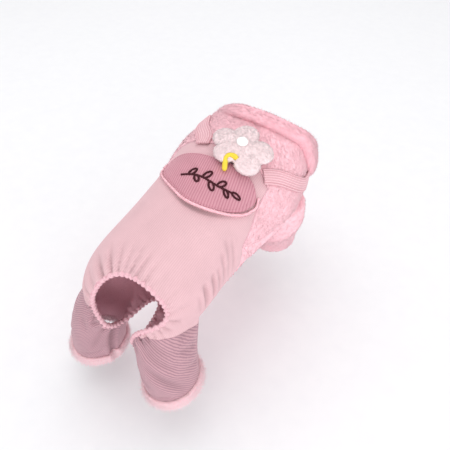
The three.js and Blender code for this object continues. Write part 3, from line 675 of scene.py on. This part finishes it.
def corduroy(name, rib_colour, shaded_groove_colour, pitch, depth, sheen, wander_by=0.7):
    """Cotton corduroy with cut pile ribs. It shows soft pale lines, with painted shade in the grooves between
    them, a velvety bloom, and painted shade that darkens its colour in creases.
    """
    finish, tree, where = new_finish(name)
    ribs = add_node(tree, "Attribute", attribute_name="rib").outputs["Fac"]
    crease_shade_mask = add_node(tree, "Attribute", attribute_name="crease").outputs["Fac"]
    drift = add_node(tree, "TexNoise", {"Vector": where, "Scale": 90.0, "Detail": 3.0})
    fuzz = add_node(tree, "TexNoise", {"Vector": where, "Scale": 1400.0, "Detail": 2.0})
    patches = add_node(tree, "TexNoise", {"Vector": where, "Scale": 55.0, "Detail": 4.0})
    wander = add_node(tree, "Math", {0: drift, 1: wander_by, 2: ribs}, operation="MULTIPLY_ADD")
    phase = add_node(tree, "Math", {0: wander, 1: 2 * math.pi / pitch}, operation="MULTIPLY")
    wave = add_node(tree, "Math", {0: phase}, operation="SINE")
    rib = add_node(tree, "MapRange", {
        "Value": wave, "From Min": -0.95, "From Max": 0.5}, interpolation_type="SMOOTHSTEP")
    # Painted shade: the grooves between the ribs take a darker colour than the ribs.
    mix = add_node(tree, "Mix", {
        "Factor": rib, 6: colour(shaded_groove_colour), 7: colour(rib_colour)}, data_type="RGBA")
    # Painted shade: where the crease value is high, the colour is darkened by up to 28 percent.
    crease_shade_factor = add_node(tree, "MapRange", {"Value": crease_shade_mask, "To Min": 1.0, "To Max": 0.72})
    creased = add_node(tree, "VectorMath", {0: mix.outputs[2], "Scale": crease_shade_factor}, operation="SCALE")
    height = add_node(tree, "Math", {0: fuzz, 1: 0.35, 2: rib}, operation="MULTIPLY_ADD")
    surface = add_node(tree, "BsdfPrincipled", {
        "Base Color": shade_by(tree, creased, (patches, 0.965, 1.03), (fuzz, 0.97, 1.03)),
        "Roughness": 0.92, "Specular IOR Level": 0.2,
        "Sheen Weight": sheen, "Sheen Roughness": 0.45, "Sheen Tint": colour("#ffe9ee"),
        "Normal": add_node(tree, "Bump", {"Height": height, "Distance": depth, "Strength": 0.8})})
    add_node(tree, "OutputMaterial", {"Surface": surface})
    return finish

def plain_weave(name, thread_colour, gap_colour, pitch):
    """Cotton in a plain weave, with a dry look. Threads of half a millimetre are drawn at twice that."""
    return flecked_finish(
        name, "TexVoronoi", {"Scale": 1000.0 / pitch}, (thread_colour, gap_colour),
        {"Roughness": 0.95, "Specular IOR Level": 0.15, "Sheen Weight": 0.2}, 0.0002, "Distance")

cotton_reverse = plain_weave("woven_cotton_reverse", "#e9b9c4", "#d9a3b0", 1.0)
back_cord = corduroy("cut_pile_corduroy_light_pink", "#e0babf", "#d8aeb5", 1.8, 0.00012, 0.35)

def dress(piece, finish, node):
    """Gives a piece its finish and its place on the part."""
    piece.data.materials.clear()
    piece.data.materials.append(finish)
    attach(piece, "root")
    if node:
        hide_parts(node)

write_ribs(back_panel, trunk_grid, trunk_arc, trunk_creases)
dress(back_panel, back_cord, "back_panel")
face_out(back_panel, outer_tree, cotton_reverse)

# Corduroy trouser legs
# The hind legs are tubes of the same corduroy, cut crosswise so that ribs run round them. Their colour is
# painted shade: darker than the back's, with deeper grooves.
shaded_leg_cord = corduroy("cut_pile_corduroy_shaded_pink", "#c59ba4", "#a5808b", 2.4, 0.0003, 0.3, 0.3)
leg_rib_slant = -0.9
leg_outline = seam_rows["thigh"][::-1] + seam_rows["groin"][1:] + ((-0.4, -0.4), (-0.4, 0.06))
for side, low, high in (("right", 5.0, 200.0), ("left", -200.0, 5.0)):
    leg = cut_panel("corduroy_leg_" + side, cord_shell, leg_outline, low, high)
    shares = np.linspace(-0.2, 1.0, 90)
    grid = leg_point(side, shares[:, None], limb_turns[None])
    creases = fold_depth(
        leg_folds[side], shares[:, None], np.degrees(limb_turns[None]), leg_drop[side], leg_round_way)
    round_leg = np.abs((np.degrees(limb_turns) - 60) % 360 - 180) * leg_round_way
    counted = (shares * leg_drop[side])[:, None] + leg_rib_slant * round_leg[None]
    write_ribs(leg, grid, counted, creases)
    dress(leg, shaded_leg_cord, "hind_leg_" + side)
    face_out(leg, outer_tree, cotton_reverse)

# Plush yoke, chest, sleeves and belly
# The shoulders, chest and sleeves are short soft plush, knitted with a cut pile about three millimetres long.
# The belly panel is the same cloth with its pile pressed flat. All are sewn to the corduroy edge to edge.
plush_form = copy_piece(outer_form, "plush_form")
plush_points, plush_normals = read_points(plush_form)
lump_size = 9.0
pile_base = 0.9
lumps = np.array([noise.noise(Vector(point) / lump_size) for point in plush_points])
write_points(plush_form, plush_points + plush_normals * (pile_base + 0.5 * lumps[:, None]))
plush_tree = surface_tree(plush_form)
plush_shell = hollow(plush_form, "plush_shell")

def plush(name, tip_colour, shaded_root_colour):
    """Polyester plush with cut, brushed pile. It shows pale soft tips over roots darkened as painted shade,
    and faint clumps.
    """
    finish, tree, where = new_finish(name)
    tips = add_node(tree, "Attribute", attribute_name="tip").outputs["Fac"]
    clumps = add_node(tree, "TexNoise", {"Vector": where, "Scale": 380.0, "Detail": 2.0})
    patches = add_node(tree, "TexNoise", {"Vector": where, "Scale": 45.0, "Detail": 3.0})
    mix = add_node(tree, "Mix", {
        "Factor": tips, 6: colour(shaded_root_colour), 7: colour(tip_colour)}, data_type="RGBA")
    surface = add_node(tree, "BsdfPrincipled", {
        "Base Color": shade_by(tree, mix.outputs[2], (clumps, 0.96, 1.03), (patches, 0.97, 1.02)),
        "Roughness": 1.0, "Specular IOR Level": 0.1,
        "Sheen Weight": 0.08, "Sheen Roughness": 0.5, "Sheen Tint": colour("#fff2f5"),
        "Normal": add_node(tree, "Bump", {"Height": clumps, "Distance": 0.0004, "Strength": 0.6})})
    add_node(tree, "OutputMaterial", {"Surface": surface})
    return finish

three_corners = (0.0, 2.094, 4.189)

def three_round(normals, rng):
    """Three ways out from each root, square to the cloth and turned at random."""
    side = unit(np.cross(normals, rng.normal(size=normals.shape)))
    front = np.cross(normals, side)
    return [side * math.cos(turn) + front * math.sin(turn) for turn in three_corners]

def tuft_arrays(bases, normals, lean, length, width, rng):
    """Small curved tufts of pile: a three-sided root, a bent middle and one tip each."""
    count = len(bases)
    spread = three_round(normals, rng)
    tall = length * rng.uniform(0.7, 1.25, (count, 1))
    bend = unit(lean + rng.normal(0, 0.45, (count, 3)))
    bend = bend - normals * np.einsum("ij,ij->i", bend, normals)[:, None]
    points = []
    for height, size, push in ((-0.25, 1.0, 0.0), (0.45, 0.85, 0.3)):
        centre = bases + normals * tall * height + bend * tall * push
        points.extend(centre + way * width * size for way in spread)
    points.append(bases + normals * tall * 0.75 + bend * tall * 0.95)
    points = np.stack(points, 1).reshape(-1, 3)
    facing = unit(points.reshape(-1, 7, 3) - (bases + normals * tall * 0.4)[:, None])
    facing = unit(facing * 0.25 + normals[:, None]).reshape(-1, 3)
    pattern = np.array([(0, 2, 1), (0, 1, 4), (0, 4, 3), (1, 2, 5), (1, 5, 4), (2, 0, 3), (2, 3, 5),
                        (3, 4, 6), (4, 5, 6), (5, 3, 6)])
    faces = (np.arange(count)[:, None, None] * 7 + pattern[None]).reshape(-1, 3)
    tips = np.tile([0.0, 0.0, 0.0, 0.55, 0.55, 0.55, 1.0], count)
    return points, faces, tips, facing

def fibre_arrays(bases, normals, lean, length, width, rng):
    """Longer single fibres that stand out of the pile: a thin three-sided cone each."""
    count = len(bases)
    spread = np.stack(three_round(normals, rng), 1)
    way = unit(normals + 0.5 * unit(lean + rng.normal(0, 0.6, (count, 3))))
    tips = bases + way * length * rng.uniform(0.6, 1.2, (count, 1))
    roots = (bases - normals * 0.3)[:, None] + spread * width
    points = np.concatenate([roots, tips[:, None]], 1).reshape(-1, 3)
    facing = np.concatenate([unit(spread + normals[:, None]), normals[:, None]], 1).reshape(-1, 3)
    pattern = np.array([(0, 2, 1), (0, 1, 3), (1, 2, 3), (2, 0, 3)])
    faces = (np.arange(count)[:, None, None] * 4 + pattern[None]).reshape(-1, 3)
    return points, faces, np.full(count * 4, 1.0), facing

def add_pile(piece, count, length, width, seed, lean=(0, -0.3, -0.6), outside=None, fibres=0, reach=2.4):
    """Sets tufts all over the outer faces of a piece, with some longer fibres, and joins them to its mesh."""
    fibre_width = 0.22
    # Painted shade: the cloth under the pile takes a colour partway between the darker roots and the tips.
    shade_under_pile = 0.45
    rng = np.random.default_rng(seed)
    points, point_normals = read_points(piece)
    faces = triangles_of(piece)
    a, b, c = points[faces[:, 0]], points[faces[:, 1]], points[faces[:, 2]]
    cross = np.cross(b - a, c - a)
    weight = np.linalg.norm(cross, axis=1) / 2
    if outside:
        weight = weight * looks_out(outside, (a + b + c) / 3, unit(cross), 0.5, 0.3)

    def spots(number):
        pick = rng.choice(len(faces), number, p=weight / weight.sum())
        u, v = rng.random((2, number, 1))
        flip = (u + v) > 1
        u, v = np.where(flip, 1 - u, u), np.where(flip, 1 - v, v)
        return a[pick] + (b - a)[pick] * u + (c - a)[pick] * v, unit(cross[pick])

    grown = [tuft_arrays(*spots(count), np.array(lean), length, width, rng)]
    if fibres:
        grown.append(fibre_arrays(*spots(fibres), np.array(lean), reach, fibre_width, rng))
    tuft_points, tips, facing = (np.concatenate([part[k] for part in grown]) for k in (0, 2, 3))
    tuft_faces = np.concatenate([part[1] + 7 * count * n for n, part in enumerate(grown)])
    before = piece.data
    materials = list(before.materials)
    finish_of = np.empty(len(before.polygons), np.int32)
    before.polygons.foreach_get("material_index", finish_of)
    face_of = np.empty(len(before.loop_triangles), np.int32)
    before.loop_triangles.foreach_get("polygon_index", face_of)
    both = new_piece("piled", np.concatenate([points, tuft_points]),
                     np.concatenate([faces, tuft_faces + len(points)]))
    mesh = both.data
    piece.data = mesh
    discard(both)
    for finish in materials:
        mesh.materials.append(finish)
    mesh.polygons.foreach_set("material_index", np.concatenate(
        [finish_of[face_of], np.zeros(len(tuft_faces), np.int32)]).astype(np.int32))
    keep_values(piece, "tip", np.concatenate([np.full(len(points), shade_under_pile), tips]))
    mesh.update()
    mesh.normals_split_custom_set_from_vertices(np.concatenate([point_normals, facing]).tolist())

plush_pink = plush("brushed_plush_pink", "#ffd5dd", "#ffc3ce")
knit_reverse = plain_weave("knitted_plush_reverse", "#f4c9d2", "#e3b0bc", 1.3)
chest_outline = seam_rows["side"][::-1] + seam_rows["chest"][1:3] + seam_rows["armhole"][1:]
yoke_outline = seam_rows["shoulder"] + seam_rows["side"][1:] + ((1.256, 0.7),)
sleeve_outline = seam_rows["armhole"] + ((1.256, -0.4), seam_rows["chest"][3])
plush_pieces = (
    ("brushed_plush_yoke", "plush_yoke", yoke_outline, -200.0, 200.0, 10500, 11),
    ("brushed_plush_chest", "plush_chest", chest_outline, -200.0, 200.0, 2500, 12),
    ("brushed_plush_sleeve_right", "front_sleeve_right", sleeve_outline, 0.0, 200.0, 7000, 13),
    ("brushed_plush_sleeve_left", "front_sleeve_left", sleeve_outline, -200.0, 0.0, 3500, 14))
for name, node, outline, low, high, tufts, seed in plush_pieces:
    panel = cut_panel(name, plush_shell, outline, low, high)
    dress(panel, plush_pink, node)
    face_out(panel, plush_tree, knit_reverse)
    add_pile(panel, tufts, 1.2, 0.56, seed, outside=plush_tree, fibres=tufts // 4)

belly_outline = seam_rows["belly"][::-1] + seam_rows["chest"][1:] + seam_rows["groin"][1:][::-1]
belly = cut_panel("plush_belly", cord_shell, belly_outline)
dress(belly, plush_pink, "belly_panel")
face_out(belly, outer_tree, knit_reverse)
add_pile(belly, 1500, 1.2, 0.5, 15, outside=outer_tree)

# Collar
# A turned roll of the same plush round the neck, folded once so that a crease runs along its outer side.
# It is wider in front of the shoulders, where its ends lap over the straps, and sits low on the left.
collar_half = 0.035
collar_middle = trunk_end + 0.001 + collar_half
angle, turn = np.meshgrid(round_angles(240), round_angles(32), indexing="ij")
degrees = (np.degrees(angle) + 180) % 360 - 180
lap = (0.060 * fade(degrees, 60, 100) * (1 - fade(degrees, 130, 165))
       + 0.030 * fade(-degrees, 100, 125) * (1 - fade(-degrees, 140, 165)))
sunk = 6.8 * fade(-degrees, 0, 48) * (1 - fade(-degrees, 110, 150))
plump = 2.0 * fade(degrees, 40, 80) * (1 - fade(degrees, 120, 160))
at = collar_middle - lap / 2 - (collar_half + lap / 2) * rounded_power(np.cos(turn), 0.8)
grow = 2.4 - sunk + (4.8 + plump) * rounded_power(np.sin(turn), 0.8)
crease = 1.2 * np.exp(-((turn - 1.9) / 0.25) ** 2)
collar = new_piece("plush_collar", *hoop_arrays(trunk_point(at, angle, grow - crease)))
collar_pink = plush("brushed_plush_collar_pink", "#ffd0d9", "#ffbfcb")
dress(collar, collar_pink, "collar")
add_pile(collar, 7500, 1.3, 0.56, 16, fibres=4500, reach=2.8)

# Rump binding
# A strip of thin cotton folded over round elastic, scrunched into small slanting puckers.
binding_radius = 2.1
binding_count = 640
binding_line = smooth_line(rump_edge, binding_count, True)
ahead_way = unit(np.roll(binding_line, -1, 0) - np.roll(binding_line, 1, 0))
out_way = unit(binding_line - heart)
across_way = unit(np.cross(out_way, ahead_way))
up_way = unit(np.cross(ahead_way, across_way))
share = np.arange(binding_count)[:, None] / binding_count
turn = round_angles(16)[None]
pucker_length = 4.5
puckers = round(rump_length / pucker_length)
scrunch = np.cos(2 * np.pi * puckers * share + 1.1 * np.sin(turn) + 1.5 * np.sin(2 * np.pi * share * 9))
radius = binding_radius + 0.5 * scrunch - 0.1
rings = (binding_line[:, None] + across_way[:, None] * (radius * np.cos(turn))[..., None]
         + up_way[:, None] * (radius * np.sin(turn))[..., None])
binding = new_piece("cotton_rump_binding", *hoop_arrays(rings))
binding_cotton = plain_weave("woven_cotton_binding", "#f0c6ce", "#dba9b4", 1.0)
dress(binding, binding_cotton, "rump_binding")

# Trouser hem cuffs
# A narrow roll of plush round each trouser hem, with longer pale fibres at its lower edge. Its colours are
# paler than the same plush elsewhere, as painted light against the shade it lies in near the floor.
cuff_share = 0.09
lightened_cuff_pink = plush("brushed_plush_cuff_painted_light", "#ffe0e6", "#ffccd5")
for side, seed in (("right", 17), ("left", 18)):
    start = 1 - cuff_share + 0.3 / leg_drop[side]
    half = (1.02 - start) / 2
    angle, turn = np.meshgrid(round_angles(120), round_angles(20), indexing="ij")
    at = start + half + half * rounded_power(np.cos(turn), 0.8)
    cuff = new_piece("plush_cuff_" + side, *hoop_arrays(
        leg_point(side, at, angle, 0.4 + 2.4 * rounded_power(np.sin(turn), 0.8))))
    dress(cuff, lightened_cuff_pink, "hind_cuff_" + side)
    add_pile(cuff, 3500, 1.7, 0.5, seed, lean=(0, 0, -1.6), fibres=4000, reach=3.8)

# Pocket
# A heart-round patch of wide-rib corduroy with a thin pad behind it, topstitched to the back.
# Its face is raised in real ribs, and plush-covered piping runs round its lower edge.
gap = 0.3
pocket_lift = gap + 0.2
pocket_width = 92.0
pocket_length = 54.0
pocket_padding = 1.2
# Each row is a point of the outline: across and along, in halves of the width and length.
pocket_rows = (
    (-0.87, 0.75), (-0.52, 0.86), (-0.13, 0.92), (0.25, 1.00), (0.59, 1.04), (0.81, 0.96), (0.94, 0.72),
    (0.93, 0.36), (0.85, -0.08), (0.65, -0.55), (0.36, -0.90), (0.04, -0.98), (-0.30, -0.80),
    (-0.63, -0.52), (-0.90, -0.16), (-1.01, 0.24), (-0.99, 0.56))
pocket_centre = np.array([0.088 * half_width, 0.508 * body_length])
most_stand_off = 3.6

def flat_line(points, count, closed):
    """A smooth line of evenly spaced points seen from above."""
    return smooth_line([(*point, 0) for point in points], count, closed)[:, :2]

def pocket_outline(count):
    return flat_line([(pocket_centre[0] + a * pocket_width / 2, pocket_centre[1] + b * pocket_length / 2)
                      for a, b in pocket_rows], count, True)

def on_back(x, y):
    """Shares and angles of the trunk under points seen from above, closed in on from a first guess."""
    share = (y + seat[1]) / body_length * 0.86 + 0.06
    angle = np.arcsin(np.clip(x / 66, -0.95, 0.95))
    for step in range(20):
        here = trunk_point(share, angle)
        along = (trunk_point(share + 0.002, angle) - here) / 0.002
        around = (trunk_point(share, angle + 0.01) - here) / 0.01
        miss_x = x - here[..., 0]
        miss_y = y - here[..., 1]
        scale = along[..., 0] * around[..., 1] - along[..., 1] * around[..., 0]
        share = share + (miss_x * around[..., 1] - miss_y * around[..., 0]) / scale
        angle = angle + (along[..., 0] * miss_y - along[..., 1] * miss_x) / scale
    return share, angle

def over_back(flat, lift):
    """Points seen from above, given from the rump end, lifted off the back."""
    flat = np.asarray(flat, float)
    share, angle = on_back(flat[..., 0], flat[..., 1] - seat[1])
    return trunk_point(share, angle, lift)

def stand_off(flat):
    """The pocket's lower edge stands off the back towards its right, in millimetres."""
    from_middle = np.asarray(flat, float) - (pocket_centre + (15.0, -26.0))
    return most_stand_off * np.exp(-(from_middle[..., 0] / 28) ** 2 - (from_middle[..., 1] / 11) ** 2)

pocket_edge = pocket_outline(180)
steps = np.concatenate([np.linspace(0.01, 0.94, 46), [0.96, 0.975, 0.988, 0.996, 1.0]])
flat = pocket_centre + (pocket_edge[None] - pocket_centre) * steps[:, None, None]
pitch = 2.25
rib_slant = 0.25
across_ribs = flat[..., 0] + rib_slant * (flat[..., 1] - pocket_centre[1])
rib_wave = 0.5 + 0.5 * np.cos(2 * np.pi * across_ribs / pitch)
steps = steps[:, None]
top_lift = (pocket_lift + cloth * np.where(steps > 0.99, 0.7, 1) + pocket_padding * (1 - steps ** 2)
            + 0.35 * (rib_wave - 0.6) * fade(1 - steps, 0, 0.01))
stitch_dip = 0.7 * np.exp(-(((1 - steps) * 38 - 2.4) / 0.6) ** 2)
top = over_back(flat, top_lift - stitch_dip + stand_off(flat))
bottom = over_back(flat, pocket_lift + stand_off(flat))
pocket = new_piece("corduroy_pocket", *tube_arrays(np.concatenate([bottom, top[::-1]])))
across_flat = np.concatenate([across_ribs, across_ribs[::-1]]).ravel()
keep_values(pocket, "rib", np.concatenate([across_flat, [0, 0]]) + pitch * 0.25)
pocket_cord = corduroy("cut_pile_corduroy_rose", "#d097a3", "#c0818f", pitch, 0.00015, 0.35, 0.2)
dress(pocket, pocket_cord, "pocket_panel")

piping_radius = 1.15
route = flat_line(pocket_outline(36)[13:35], 240, False)
outside = pocket_centre + (route - pocket_centre) * (1 + (piping_radius + 0.55) / 36)
piping_path = over_back(outside, pocket_lift + piping_radius + 0.3 + stand_off(outside))
up = unit(over_back(outside, np.full(len(outside), pocket_lift + 2.0))
          - over_back(outside, np.zeros(len(outside))))

def cord_rings(path, up, radius, columns=12):
    """Rings of a round cord along a path; radius may change along it."""
    ahead = unit(np.gradient(path, axis=0))
    side = unit(np.cross(ahead, up))
    up = np.cross(side, ahead)
    turn = round_angles(columns)[None, :, None]
    radius = np.broadcast_to(np.asarray(radius, float), (len(path),))[:, None, None]
    return path[:, None] + radius * (side[:, None] * np.cos(turn) + up[:, None] * np.sin(turn))

# Painted shadow: along a line under the pocket's edge that stands off, the back's crease value is raised, so
# its colour is darkened into a dark line there.
painted_shadow_line = over_back(pocket_centre + (route - pocket_centre) * 1.11, 0.0)
back_points, _ = read_points(back_panel)
crease = np.empty(len(back_points))
crease_attribute = back_panel.data.attributes["crease"]
crease_attribute.data.foreach_get("value", crease)
for spot, weight in zip(painted_shadow_line, stand_off(outside) / most_stand_off):
    crease = np.maximum(crease, 1.6 * weight * np.exp(-((back_points - spot) ** 2).sum(1) / 2.6))
crease_attribute.data.foreach_set("value", crease)

piping = new_piece("plush_pocket_piping", *tube_arrays(cord_rings(piping_path, up, piping_radius)))
dress(piping, collar_pink, "pocket_piping")
add_pile(piping, 1000, 0.9, 0.34, 19)

# Embroidered sprig
# A leafy twig in dark red cotton thread, satin stitched through the pocket so that it stands a little proud.
def pocket_top(flat):
    """Height of the pocket's face above the back under points seen from above."""
    reach_from = flat - pocket_centre
    edge_from = pocket_edge - pocket_centre
    edge_reach = np.interp(
        np.arctan2(reach_from[..., 1], reach_from[..., 0]), np.arctan2(edge_from[:, 1], edge_from[:, 0]),
        np.linalg.norm(edge_from, axis=1), period=2 * np.pi)
    share = np.linalg.norm(reach_from, axis=-1) / edge_reach
    return pocket_lift + cloth + pocket_padding * (1 - share ** 2) + stand_off(flat)

sprig_start = np.array([-9.5, 121.5])
sprig_end = np.array([33.5, 130.5])
thread_radius = 1.0
# Each row is a leaf: where it grows, its turn in degrees, its length and its breadth.
leaf_rows = ((0.10, 62, 8.5, 4.2), (0.24, -58, 7.5, 3.8), (0.40, 60, 9.5, 4.4), (0.56, -58, 8.5, 4.2),
             (0.72, 55, 8.5, 4.0), (0.86, -50, 6.5, 3.4), (1.00, 4, 7.0, 3.6))
sprig_way = unit(sprig_end - sprig_start)
sprig_side = np.array([-sprig_way[1], sprig_way[0]])
sprig_length = np.linalg.norm(sprig_end - sprig_start)

def twig_spot(share):
    return (sprig_start + sprig_way * sprig_length * share
            + sprig_side * 1.6 * math.sin(2 * math.pi * share))

def stitched_line(flat, closed):
    """A line of satin stitch laid along a path on the pocket."""
    flat = flat_line(flat, 60, closed)
    lift = pocket_top(flat) + 0.35
    path = over_back(flat, lift)
    up = unit(over_back(flat, lift + 1.0) - path)
    if closed:
        ahead = unit(np.roll(path, -1, 0) - np.roll(path, 1, 0))
    else:
        ahead = unit(np.gradient(path, axis=0))
    side = np.cross(ahead, up)
    turn = round_angles(10)[None, :, None]
    stitch = 1 + 0.12 * np.sin(np.arange(len(path)) * 2.4)[:, None, None]
    round_it = side[:, None] * np.cos(turn) + 0.8 * up[:, None] * np.sin(turn)
    rings = path[:, None] + thread_radius * stitch * round_it
    return hoop_arrays(rings) if closed else tube_arrays(rings)

sprig_parts = [stitched_line([twig_spot(share) for share in np.linspace(-0.06, 1.0, 14)], False)]
for at, turn, long, broad in leaf_rows:
    root = twig_spot(at)
    turn = math.radians(turn)
    way = sprig_way * math.cos(turn) + sprig_side * math.sin(turn)
    wide_way = np.array([-way[1], way[0]])
    outline = [root + way * long * (0.5 - 0.5 * math.cos(t)) + wide_way * broad / 2 * math.sin(t)
               for t in round_angles(14)]
    sprig_parts.append(stitched_line(outline, True))
sprig = join_parts("embroidered_sprig", sprig_parts)
# Mercerised cotton laid in satin stitch. It shows a dark red line with a faint gloss and slanting stitches.
thread_red = flecked_finish(
    "satin_stitched_thread_dark_red", "TexWave", {"Scale": 300.0, "Distortion": 1.5}, ("#2b0a10", "#551f2a"),
    {"Roughness": 0.65, "Specular IOR Level": 0.2}, 0.0002, wave_type="BANDS", bands_direction="DIAGONAL")
dress(sprig, thread_red, None)

# Shoulder straps
# Two strips of the light corduroy run from the back over the shoulders, stitched along both turned-in edges.
strap_columns = ("at", "right", "left")
strap_rows = ((0.692, 41, -16), (0.755, 56, -20), (0.833, 93, -38), (0.870, 102, -48), (0.895, 107, -58))
strap_at = smooth_table(strap_columns, strap_rows)
strap_width = 14.0
strap_pitch = 2.2
strap_cloth = 1.8
strap_lift = 1.5 + gap + 0.1
strap_cord = corduroy("cut_pile_corduroy_strap_pink", "#ebbec5", "#dca8b1", strap_pitch, 0.0003, 0.35, 0.2)
for side in ("right", "left"):
    at = np.linspace(strap_rows[0][0], strap_rows[-1][0], 90)
    angle = np.radians(strap_at(at)[side])
    ahead_angle = np.radians(strap_at(at + 0.004)[side])
    ahead_way = unit(trunk_point(at + 0.004, ahead_angle) - trunk_point(at, angle))
    across_way = unit(np.cross(ahead_way, trunk_normal(at, angle)))
    along = (trunk_point(at + 0.002, angle) - trunk_point(at, angle)) / 0.002
    around = (trunk_point(at, angle + 0.01) - trunk_point(at, angle)) / 0.01
    offsets = np.linspace(-strap_width / 2, strap_width / 2, 57)
    a, b, c = (along * along).sum(1), (along * around).sum(1), (around * around).sum(1)
    p = (across_way * along).sum(1)[:, None] * offsets
    q = (across_way * around).sum(1)[:, None] * offsets
    scale = (a * c - b * b)[:, None]
    shares = at[:, None] + (p * c[:, None] - q * b[:, None]) / scale
    angles = angle[:, None] + (a[:, None] * q - b[:, None] * p) / scale
    rib_wave = 0.5 + 0.5 * np.cos(2 * np.pi * offsets / strap_pitch)
    seam_dip = 0.5 * np.exp(-((np.abs(offsets) - strap_width / 2 + 1.7) / 0.35) ** 2)
    rolled = 0.55 * fade(np.abs(offsets), strap_width / 2 - 0.8, strap_width / 2)
    top_lift = strap_lift + strap_cloth - 0.1 + 0.25 * (rib_wave - 0.5) - seam_dip - rolled
    top = trunk_point(shares, angles, np.broadcast_to(top_lift, shares.shape))
    bottom = trunk_point(shares, angles, strap_lift)
    strap = new_piece("corduroy_strap_" + side, *tube_arrays(np.concatenate([bottom, top[:, ::-1]], 1)))
    rib_value = np.tile(np.concatenate([offsets, offsets[::-1]]), len(at))
    keep_values(strap, "rib", np.concatenate([rib_value, [0, 0]]) + strap_pitch * 0.25)
    dress(strap, strap_cord, "strap_" + side)

# Flower
# A five-petalled plush flower, padded, with a white button at its middle and a bent chenille stem.
flower_xy = np.array([0.257 * half_width, 0.686 * body_length])
flower_lift = 1.5 + strap_cloth + gap * 2 + 0.3
# Each row is a petal: its direction in degrees, how far out it lies and its radius.
petal_rows = ((20, 16.6, 12.6), (105, 15.0, 12.2), (177, 16.8, 12.6), (240, 14.8, 12.2), (318, 16.4, 12.8))
petal_height = 3.6
middle_radius = 10.5
# Each row is a point of the stem: across and along as shares, and its height off the back.
stem_rows = ((0.273, 0.566, 6.5), (0.226, 0.592, 7.6), (0.203, 0.609, 9.4), (0.228, 0.623, 10.4),
             (0.281, 0.628, 10.6), (0.325, 0.625, 10.2))
stem_radius = 2.3

def flower_spot(reach, degrees, lift):
    turn = math.radians(degrees)
    flat = flower_xy + reach * np.array([math.cos(turn), math.sin(turn)])
    return over_back(flat, np.array(lift))

def circle_round(up, count):
    """Ways out from a point, square to the way up."""
    side = unit(np.cross((0.0, 1.0, 0.0), up))
    turn = round_angles(count)[None, :, None]
    return side * np.cos(turn) + np.cross(up, side) * np.sin(turn)

def puff_arrays(around, reach, radius):
    """A soft round pad over one spot of the flower."""
    up = unit(flower_spot(reach, around, 1.0) - flower_spot(reach, around, 0.0))
    centre = flower_spot(reach, around, flower_lift + petal_height + 0.3)
    tilt = np.pi * np.linspace(0.04, 0.96, 18)[:, None, None]
    return tube_arrays(centre + radius * np.sin(tilt) ** 0.75 * circle_round(up, 40)
                       - petal_height * np.cos(tilt) * up)

flower_up = unit(flower_spot(0, 0, 1.0) - flower_spot(0, 0, 0.0))
flower = join_parts(
    "plush_flower", [puff_arrays(*row) for row in ((0, 0, middle_radius),) + petal_rows])

def swell(piece, voxel, pressure, most):
    """Fills a pad: the cloth is blown out from inside, and no point moves more than the most given."""
    remesh = piece.modifiers.new("remesh", "REMESH")
    remesh.mode = "VOXEL"
    remesh.voxel_size = voxel * 0.001
    settle(piece)
    start, _ = read_points(piece)
    scene = bpy.context.scene
    pad = piece.modifiers.new("filling", "CLOTH")
    pad.settings.use_pressure = True
    pad.settings.uniform_pressure_force = pressure
    pad.settings.tension_stiffness = 20
    pad.settings.compression_stiffness = 20
    pad.settings.effector_weights.gravity = 0
    for step in range(1, 21):
        scene.frame_set(step)
    settle(piece)
    scene.frame_set(1)
    moved, _ = read_points(piece)
    shift = moved - start
    length = np.linalg.norm(shift, axis=1, keepdims=True)
    write_points(piece, start + shift * np.minimum(1, most / np.maximum(length, 1e-6)))
    smoothing = piece.modifiers.new("finer", "SUBSURF")
    smoothing.levels = 1
    settle(piece)
    piece.data.shade_smooth()
    points, normals = read_points(piece)
    curls = np.array([noise.noise(Vector(point) / 2.4) for point in points])
    write_points(piece, points + normals * 0.3 * curls[:, None])

swell(flower, 1.5, 4.0, 0.8)

stem_count = 70
stem_path = smooth_line([over_back((a * half_width, b * body_length), np.array(lift))
                         for a, b, lift in stem_rows], stem_count, False)
stem_up = np.repeat(flower_up[None], stem_count, 0)
stem_room = new_piece("stem_room", *tube_arrays(cord_rings(stem_path, stem_up, stem_radius + 0.2, 16)))
combine(flower, stem_room, "DIFFERENCE")
discard(stem_room)
# Painted shade: the pinker root colour paints pink shade deep in the flower's pile.
flower_plush = plush("brushed_plush_pale", "#fff6f7", "#ffdade")
dress(flower, flower_plush, "flower")
add_pile(flower, 6500, 1.0, 0.42, 20, fibres=1500, reach=1.6)

button_radius = 5.3
button_height = 4.0
base = flower_spot(0, 0, flower_lift + 8.3)
profile = np.array([(0.5, 0.0), (0.85, 0.02), (0.98, 0.12), (1.0, 0.3), (0.97, 0.48), (0.88, 0.66),
                    (0.72, 0.82), (0.5, 0.93), (0.25, 0.985), (0.05, 1.0)])
rings = (base + button_radius * profile[:, 0, None, None] * circle_round(flower_up, 48)
         + button_height * profile[:, 1, None, None] * flower_up)
button = new_piece("white_button", *tube_arrays(rings))
# Nylon moulded in a polished tool. It shows an even milky white with a soft highlight.
button_finish = flecked_finish(
    "moulded_nylon_white", "TexNoise", {"Scale": 300.0}, ("#f6f8f6", "#fefffe"),
    {"Roughness": 0.45, "Sheen Weight": 0.2})
dress(button, button_finish, "flower_button")

ends = np.minimum(np.arange(stem_count), np.arange(stem_count)[::-1]) / 5.0
stem = new_piece("chenille_stem", *tube_arrays(cord_rings(
    stem_path, stem_up, (stem_radius + 0.1) * np.sqrt(np.clip(ends * 0.6 + 0.35, 0, 1)), 16)))
# Chenille of short twisted-in pile. It shows a matt yellow fuzz with paler tips.
stem_yellow = flecked_finish(
    "felted_chenille_yellow", "TexNoise", {"Scale": 1500.0, "Detail": 2.0}, ("#e8c435", "#fbe761"),
    {"Roughness": 0.95, "Specular IOR Level": 0.1}, 0.0004)
dress(stem, stem_yellow, "flower_stem")

discard(outer_form, inner_form, mouth, cord_shell, plush_form, plush_shell)
